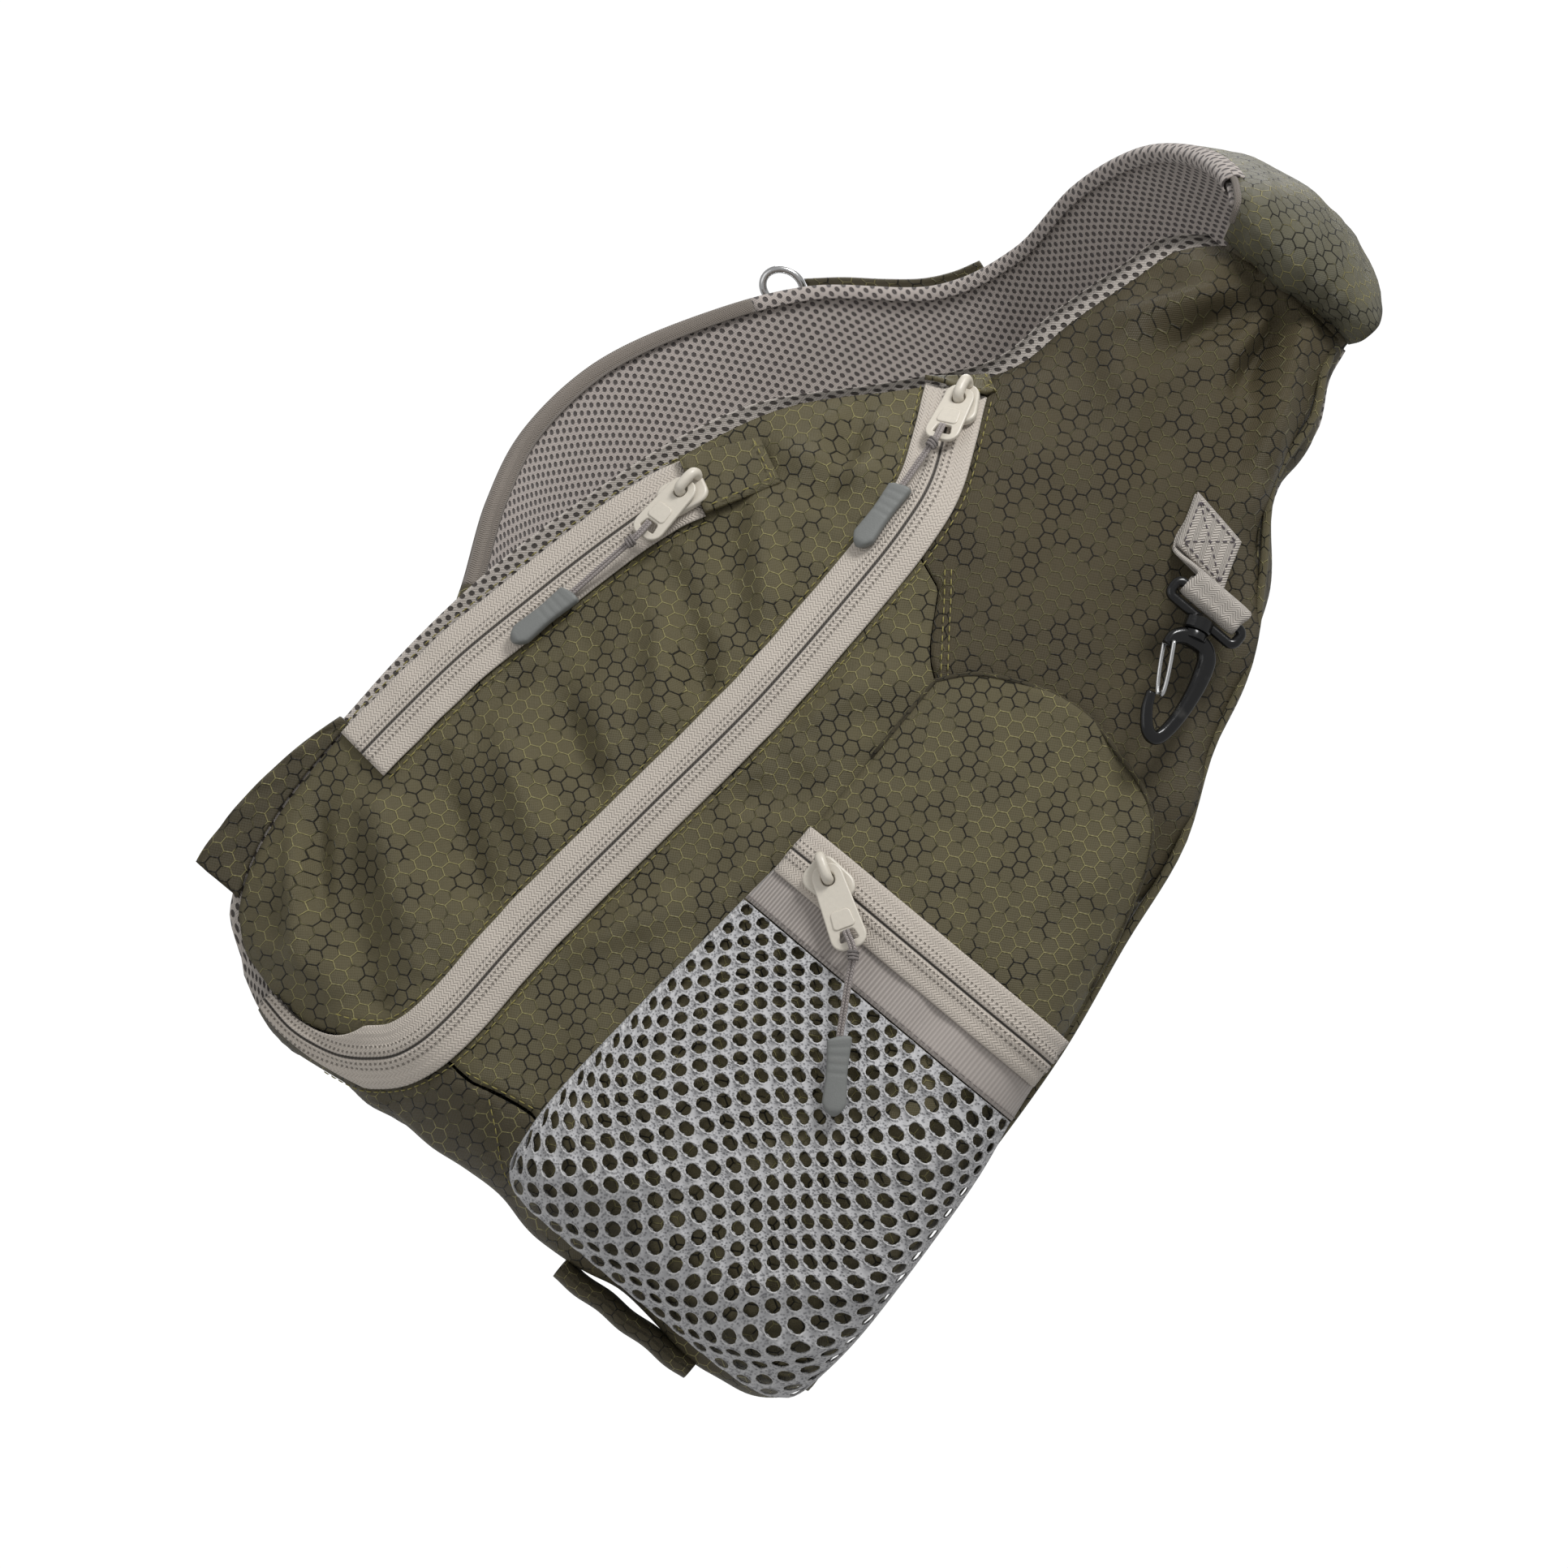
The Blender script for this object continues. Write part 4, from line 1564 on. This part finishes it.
def snap_hook():
    axis, out, lean = hook_frame()
    turn = Matrix.Rotation(HOOK_TURN, 4, "Z")

    # ring and barrel; the bore and the seat leave room for the stem to turn
    ring = []
    for x, z in rounded_outline(RING_WIDTH, RING_HEIGHT, RING_HEIGHT / 2, RING_CORNER, steps=6):
        ring.append((x * math.cos(lean) + z * math.sin(lean), 0, z * math.cos(lean) - x * math.sin(lean)))
    tube("hook_ring", ring, RING_BAR, "plastic", cyclic=True, sides=14, nodes=["hook_ring"], upright=axis)
    low, bore, seat = BARREL_TOP - BARREL_HEIGHT, STEM_RADIUS + STEM_CLEAR, STEM_HEAD + STEM_CLEAR
    seat_high = BARREL_TOP - BARREL_ROOF
    seat_low = seat_high - STEM_HEAD_HEIGHT - 2 * STEM_CLEAR
    turned("swivel_barrel", ((0.0001, BARREL_TOP + 0.0006), (BARREL_RADIUS * 0.6, BARREL_TOP + 0.0005),
                             (BARREL_RADIUS, BARREL_TOP - 0.0008), (BARREL_RADIUS, low + 0.0005),
                             (BARREL_RADIUS - 0.0005, low), (bore, low), (bore, seat_low), (seat, seat_low),
                             (seat, seat_high), (0.0001, seat_high)), "plastic", axis, ["hook_ring"])

    # stem and bar
    local = axis @ turn
    foot = float(share(HOOK_BAR_ROUTE[3][1], HOOK_LENGTH))
    head_high = seat_high - STEM_CLEAR
    head_low = head_high - STEM_HEAD_HEIGHT
    collar = BARREL_RADIUS * 0.86
    turned("hook_stem", ((0.0001, foot), (collar, foot), (collar, low - 3 * STEM_CLEAR),
                         (BARREL_RADIUS * 0.80, low - STEM_CLEAR), (STEM_RADIUS, low - STEM_CLEAR),
                         (STEM_RADIUS, head_low), (STEM_HEAD, head_low), (STEM_HEAD, head_high),
                         (0.0001, head_high)), "plastic", local, ["hook_body"], "hook")
    route = [(share(x, HOOK_WIDTH), 0.0, share(z, HOOK_LENGTH)) for x, z in HOOK_BAR_ROUTE]
    line = smooth_route(route, 8)
    radii = HOOK_BAR * np.interp(np.linspace(0, 1, len(line)), np.linspace(0, 1, len(HOOK_SWELL)), HOOK_SWELL)
    rings = sweep(line, radii, 20, flat=0.92)
    middle = rings.mean(axis=1, keepdims=True)
    depth = rings - middle
    depth[..., 1] = np.sign(depth[..., 1]) * np.minimum(np.abs(depth[..., 1]), radii[:, None] * 0.78)
    piece("hook_bar", middle + depth, ring_faces(len(rings), 20), "plastic", ["hook_body"], "hook", closed=True,
          upright=local)

    # gate
    nub, nose = np.array(route[0]), np.array(route[-1])
    reach = HOOK_BAR + CLEAR + GATE_WIRE
    pivot = np.array([nub[0], 0, nub[2] + HOOK_BAR * 0.5])
    rest = np.array([nose[0] + reach, 0, nose[2] + HOOK_BAR * 0.2])
    side = np.array([0, reach, 0])
    at = lambda t: pivot + (rest - pivot) * t
    loop = [pivot - side, at(0.45) - side, at(0.8) - side * 0.8, rest - side * 0.4, rest + side * 0.4,
            at(0.8) + side * 0.8, at(0.45) + side, pivot + side]
    tube("hook_gate", smooth_route(loop, 8), GATE_WIRE, "steel", sides=10, nodes=["hook_gate"], body="gate",
         upright=local)
    hook_webbing(axis, out, lean)


def hook_webbing(axis, out, lean):
    """The patch sewn on the cloth, its second layer and the loop that holds the ring's upper bar."""
    frame = np.array(axis)
    bar = frame[:3, :3] @ [RING_HEIGHT * math.sin(lean), 0, RING_HEIGHT * math.cos(lean)] + frame[:3, 3]
    bar_axis = unit(frame[:3, :3] @ [math.cos(lean), 0, -math.sin(lean)])
    down = unit(np.cross(bar_axis, out))
    down = -down if down[2] > 0 else down
    hold = RING_BAR + CLEAR + WEBBING / 2
    places = on_pack(HOOK_PATCH)
    patch = [lifted(place, PATCH_REST + WEBBING / 2) for place in places]
    middle = (patch[0] + patch[1]) / 2 + out * 0.0004
    loop = [bar + out * hold - down * hold * 2.2, bar + out * hold, bar + unit(out + down) * hold,
            bar + down * hold, bar + unit(down - out) * hold, bar - out * hold, bar - out * hold - down * hold * 1.6]
    centres = [patch[0], middle, patch[1], *loop]
    normals = [out, out, unit(out * 2 + down), out, out, unit(out + down), down, unit(down - out), -out, -out]
    level = np.array([math.cos(HOOK_PATCH_LEAN), 0, -math.sin(HOOK_PATCH_LEAN)])
    acrosses = [level] * 2 + [unit(level * 0.6 + bar_axis * 0.4)] + [bar_axis] * 7
    strip("hook_webbing", centres, acrosses, normals, WEBBING_WIDTH, "webbing", ["hook_webbing"])
    second = [point + out * (WEBBING + 0.0002) for point in (patch[0] - down * 0.0006, middle, patch[1])]
    strip("hook_webbing_layer", second, acrosses[:3], normals[:2] + [out], WEBBING_WIDTH * 0.98, "webbing")
    top = lambda u, v: (second[0] * (1 - v) + second[2] * v + out * (WEBBING / 2 + 0.0003)
                        + level * u * WEBBING_WIDTH)
    corners = [(-0.4, 0.1), (0.4, 0.1), (0.4, 0.9), (-0.4, 0.9), (-0.4, 0.1), (0.4, 0.9)]
    lines = []
    for (a, b), (c, d) in [*zip(corners, corners[1:]), (corners[1], corners[3])]:
        line = np.array([top(a + (c - a) * t, b + (d - b) * t) for t in np.linspace(0, 1, 12)])
        lines.append((line, np.tile(out, (12, 1))))
    stitches("patch_stitching", lines, "dark_thread", 0.0019, 0.0008, 0.00028)


def strip(name, centres, acrosses, normals, width, finish, nodes=(), thickness=WEBBING, steps=7, columns=14):
    """A flat band of webbing along centres, its width and outer side given at each."""
    line = smooth_route(centres, steps)
    side, out = unit(smooth_route(acrosses, steps)), unit(smooth_route(normals, steps))
    u = np.linspace(-1, 1, columns + 1)[None, :, None]
    drop = thickness * 0.3 * np.abs(u) ** 12
    points = line[:, None] + side[:, None] * u * width / 2 + out[:, None] * (thickness / 2 - drop)
    places = stacked(u[..., 0] * width / 2, lengths_of(line)[:, None])
    if np.dot(np.cross(side[0], along_of(line)[0]), out[0]) < 0:
        points, places = points[::-1], places[::-1]
    sheet(name, points, finish, nodes, thickness, places)


# The shoulder strap

def strap_rows(stations):
    """Left edge, inward direction, width, crown, thickness, outward normal and length at stations."""
    last = len(STRAP) - 1
    rows = [strap_station(at) for at in stations]
    left, right = (np.array([row[k] for row in rows]) for k in (0, 1))
    before = [strap_station(max(at - 0.1, 0.0)) for at in stations]
    after = [strap_station(min(at + 0.1, last)) for at in stations]
    along = unit(np.array([a[0] + a[1] - b[0] - b[1] for a, b in zip(after, before)]))
    across = right - left
    return {"station": np.asarray(stations, float), "left": left, "inward": unit(across),
            "width": np.linalg.norm(across, axis=1),
            "crown": np.array([row[2] for row in rows]), "thick": np.array([row[3] for row in rows]),
            "normal": unit(np.cross(across, along)), "along": along,
            "length": lengths_of((left + right) / 2)}


def on_strap(rows, inward, depth):
    """Points at distances in from the left edge and depths under the outer face; arrays (rows, columns)."""
    share_in = inward / rows["width"][:, None]
    crown = rows["crown"][:, None] * (1 - (2 * np.clip(share_in, 0, 1) - 1) ** 2)
    return (rows["left"][:, None] + rows["inward"][:, None] * inward[..., None]
            + rows["normal"][:, None] * (crown - depth)[..., None])


def edge_drop(rows, across):
    """How far the outer cloth turns down towards the mesh side near the strap's edges, across from -1 to 1."""
    loop = smooth_step(rows["station"], 1.4, 3.2)[:, None]
    return EDGE_TURN * rows["thick"][:, None] * loop * np.abs(across) ** 10


def strap():
    last = len(STRAP) - 1
    stations = np.concatenate([np.linspace(0, ROOT_STATIONS, 50)[:-1], np.linspace(ROOT_STATIONS, last, 170)])
    rows = strap_rows(stations)
    inner = CLOTH + PAD_GAP

    # outer cloth, gathered where it rolls over the top
    u = np.linspace(0, 1, 27)[None]
    inward = u * rows["width"][:, None]
    places = stacked(inward, rows["length"][:, None])
    roll = np.exp(-((stations - 1.6) / 1.3) ** 2)[:, None]
    gathers = ROLL_GATHER * roll * np.sin(u * 34 + 2.0 * np.sin(u * 9) + rows["length"][:, None] * 30)
    waves = crumple(places + 0.2, 0.0008)
    drawn = np.minimum(1, 8 * np.minimum(u, 1 - u))
    points = on_strap(rows, inward, edge_drop(rows, 2 * u - 1) - (gathers + waves) * drawn)
    run = lengths_of(points[:, points.shape[1] // 2])[:, None]
    places = stacked(inward, run)
    sheet("strap_cover", points, "olive_lit", ["strap_cover"], CLOTH, places)

    # padded mesh under it, round at its edges
    sides = 48
    turn = turns(sides)
    across = squared_off(np.cos(turn), 0.45)
    under = squared_off(np.sin(turn), 0.5)
    inward = (across + 1) / 2 * rows["width"][:, None]
    top = edge_drop(rows, across[None])
    full = rows["thick"][:, None] * (1 - 0.12 * np.abs(across) ** 6)
    depth = inner + top + (full - top) / 2 * (1 + under)
    points = on_strap(rows, inward, depth)
    flat = np.where(under > 0, inward, -inward)
    places = stacked(flat, rows["length"][:, None])
    pad = piece("strap_pad", points, ring_faces(len(points), sides), "spacer", ["strap_pad"], places=places,
                closed=True)
    strap_edges(inner)


def strap_edges(inner):
    """Bindings on the strap's left edge, the accessory webbing and its ring."""
    def bound(name, first, last_station, finish, nodes=(), sign=-1, count=100):
        """Tape folded over an edge, from the outer cloth round to the mesh."""
        rows = strap_rows(np.linspace(first, last_station, count))
        low = edge_drop(rows, np.ones((1, 1)))
        high = inner + rows["thick"][:, None] * 0.88
        fold = smooth_route([(0.0040, -0.0007, 0), (0.0010, -0.0009, 0), (-0.0011, 0, 0.2), (-0.0012, 0, 0.8),
                             (0.0012, 0.0008, 1.0), (0.0034, 0.0012, 1.0)], 4)
        depth = low + fold[None, :, 1] + (high - low) * fold[None, :, 2]
        inward = np.broadcast_to(fold[None, :, 0], depth.shape)
        inward = inward if sign < 0 else rows["width"][:, None] - inward
        points = on_strap(rows, inward, depth)
        places = stacked(lengths_of(fold * [1, 1, inner])[None], rows["length"][:, None])
        if sign > 0:
            points, places = points[:, ::-1], places[:, ::-1]
        sheet(name, points, finish, nodes, TAPE * 0.7, places)

    last = len(STRAP) - 1
    station = lambda index: ROOT_STATIONS + (index - ROOT_STEPS) * (last - ROOT_STATIONS) / STRAP_STEPS
    bound("strap_binding", station(BINDING_FROM), station(BINDING_TO - 1), "binding", ["strap_binding"])
    bound("strap_edge_upper", 2.6, station(BINDING_FROM), "spacer")
    bound("strap_edge_lower", station(BINDING_TO - 1), len(STRAP) - 1.02, "olive_deep", count=30)
    bound("strap_edge_right", 3.6, len(STRAP) - 1.02, "olive_deep", sign=1)
    rows = strap_rows(np.linspace(0.9, 2.8, 70))
    edge = on_strap(rows, np.full((70, 1), 0.0004), edge_drop(rows, np.ones((1, 1))) + 0.0004)[:, 0]
    tube("roll_piping", edge, ROLL_PIPING, "binding", sides=10)

    rows = strap_rows(np.linspace(station(TRIM_FROM), station(TRIM_TO - 1), 6))
    centres = on_strap(rows, np.full((6, 1), TRIM_WIDTH * 0.25), np.full((6, 1), WEBBING))[:, 0]
    strip("strap_webbing", centres, rows["inward"], rows["normal"], TRIM_WIDTH, "olive_deep", ["strap_webbing"])
    inward, normal, along = (rows[key][-1] for key in ("inward", "normal", "along"))
    centre = (rows["left"][-1] + normal * (WEBBING / 2 + CLEAR) - inward * TRIM_WIDTH * 0.15
              + along * (TRIM_RING + TRIM_WIRE + CLEAR))
    ring = [centre + TRIM_RING * (along * math.cos(a) - inward * math.sin(a)) + normal * TRIM_WIRE * 1.4
            for a in turns(40)]
    tube("strap_ring", ring, TRIM_WIRE, "steel", cyclic=True, sides=12, reference=normal, nodes=["strap_ring"])


def lower_end():
    """Webbing and buckle from the strap's tip to the wing, and the wing itself."""
    size = np.array([PACK_WIDTH, LOOP_DEPTH, PACK_HEIGHT]) / 100
    wing_back = 2 * CLEAR + CLOTH + LOWER_REST
    last = len(STRAP) - 1
    rows = strap_rows(np.array([last - 0.5, last]))
    left, inward, normal, width = rows["left"][-1], rows["inward"][-1], rows["normal"][-1], rows["width"][-1]
    crown = rows["crown"]
    middles = rows["left"] + rows["inward"] * rows["width"][:, None] / 2 + rows["normal"] * crown[:, None]
    lead = unit(middles[1] - middles[0])
    lead = unit(lead - normal * lead.dot(normal))
    start = left + inward * width / 2 - normal * (CLOTH + PAD_GAP + rows["thick"][-1] / 2) + lead * SEAM
    route = [start, start + lead * LOWER_LEAD, np.array(LOWER_BEND) * size]
    route += [np.array([x, wing_back, z]) for x, z in on_pack(LOWER_WEBBING_END)]
    line = smooth_route(route, 6)
    line[:, 1] = np.maximum(line[:, 1], wing_back)
    t = np.minimum(1.5 * np.linspace(0, 1, len(line)), 1.0)[:, None]
    along = along_of(line)
    side = inward * (1 - t) + np.array([1.0, 0, 0]) * t
    side = unit(side - along * (side * along).sum(axis=1, keepdims=True))
    out = unit(np.cross(side, along))
    strip("lower_webbing", line, side, out, LOWER_WIDTH, "webbing", ["lower_webbing"], steps=1)
    at = BUCKLE_AT * 2
    matrix = Matrix((Vector(side[at]), Vector(-out[at]), Vector(along[at]))).transposed().to_4x4()
    matrix.translation = Vector(line[at] + out[at] * (WEBBING + BUCKLE_REST + BUCKLE_THICK / 2))
    outer = rounded_outline(LOWER_WIDTH * 1.2, BUCKLE_LENGTH, 0.0, 0.0022)
    slots = [rounded_outline(LOWER_WIDTH * 0.92, 0.0028, middle, 0.0008) for middle in (-0.0034, 0.0034)]
    plate("lower_buckle", [outer, *slots], BUCKLE_THICK, 0.0006, "plastic", matrix, ["lower_buckle"])

    # wing: folded cloth that stands off the left rim
    heights = share([row["height"] for row in WING], PACK_HEIGHT)
    z = np.linspace(heights[0], heights[-1], 40)[:, None]
    width = np.interp(z, heights, share([row["width"] for row in WING], PACK_WIDTH))
    edge = outline("left", z)
    front_y, back_y = -BACK_PAD - CLEAR - CLOTH, CLEAR + CLOTH
    path = np.array([(0.0, 0.0), (0.22, 0.0), (0.45, 0.0), (0.50, 0.12),
                     (0.50, 0.88), (0.55, 1.0), (0.78, 1.0), (1.0, 1.0)])
    t = np.linspace(0, 1, 41)
    key = np.linspace(0, 1, len(path))
    fold, depth = np.interp(t, key, path[:, 0])[None], np.interp(t, key, path[:, 1])[None]
    inner = np.where(fold < 0.5, WING_LAP, WING_LAP * 0.3)
    away = 1 - np.abs(fold - 0.5) * 2
    x = edge + inner - (inner + width) * away
    y = back_y + (front_y - back_y) * depth
    cross = stacked(x + 0.02 * depth, z)
    creases = 0.0006 * np.sin(z * 420 + away * 7) * away
    points = stacked(x, y + creases * np.where(depth > 0.5, -1, 1), z)
    sheet("strap_wing", points, "olive_deep", ["strap_wing"], CLOTH, cross)


def tunnel():
    """The open cloth sleeve under the bottom edge."""
    x = share(np.linspace(TUNNEL_LEFT, TUNNEL_RIGHT, 30), PACK_WIDTH)[:, None]
    roof = bottom_edge(x) - UNDER_SLOPE * UNDER_ROUND / 2 - SEAM
    nearest = front(x, bottom_edge(x)) + TUNNEL_SETBACK
    angle = -turns(40)[None]
    cosine = squared_off(np.cos(angle), 0.8)
    sine = squared_off(np.sin(angle), 0.8)
    y = nearest + TUNNEL_DEPTH / 2 * (1 - cosine)
    z = roof - TUNNEL_HEIGHT / 2 * (1 - sine) + 0.0004 * np.sin(x * 300)
    points = stacked(x, y, z)
    places = stacked(x, -angle * 0.006)
    sheet("bottom_tunnel", points, "olive_deep", ["bottom_tunnel"], CLOTH, places, wrap=True)


# Topstitching

def seam_stitching():
    """Threads beside the seams and zips."""
    def along_seam(line, rise, end=1.0):
        return stitch_line(beside(evenly(line, 80)[:int(80 * end) + 1], rise), body_cloth, 0.0003)

    lines = []
    upper = smooth_route(on_pack(UPPER_SEAM[:2]), 20)
    for rise in (0.0018, 0.0042):
        lines.append(along_seam(upper, rise))
    lines.append(along_seam(smooth_route(on_pack(LOWER_SEAM[:2]), 20), 0.0018))
    lines.append(along_seam(seam(BOTTOM_SEAM), 0.0018))
    for name, end in ((MAIN_ZIP, 0.93), (SIDE_ZIP, 1.0)):
        for side in (-1, 1):
            route = smooth_route(on_pack(name), 8)
            lines.append(along_seam(route, side * (TAPE_WIDTH / 2 + 0.0016), end=end))
    stitches("seam_stitching", lines + garages(), "thread", radius=0.00024)


look_from_the_front()
hardware()
side_wall(*body_panels())
padded_back()
pocket()
zips()
snap_hook()
strap()
lower_end()
tunnel()
seam_stitching()
soft_light()
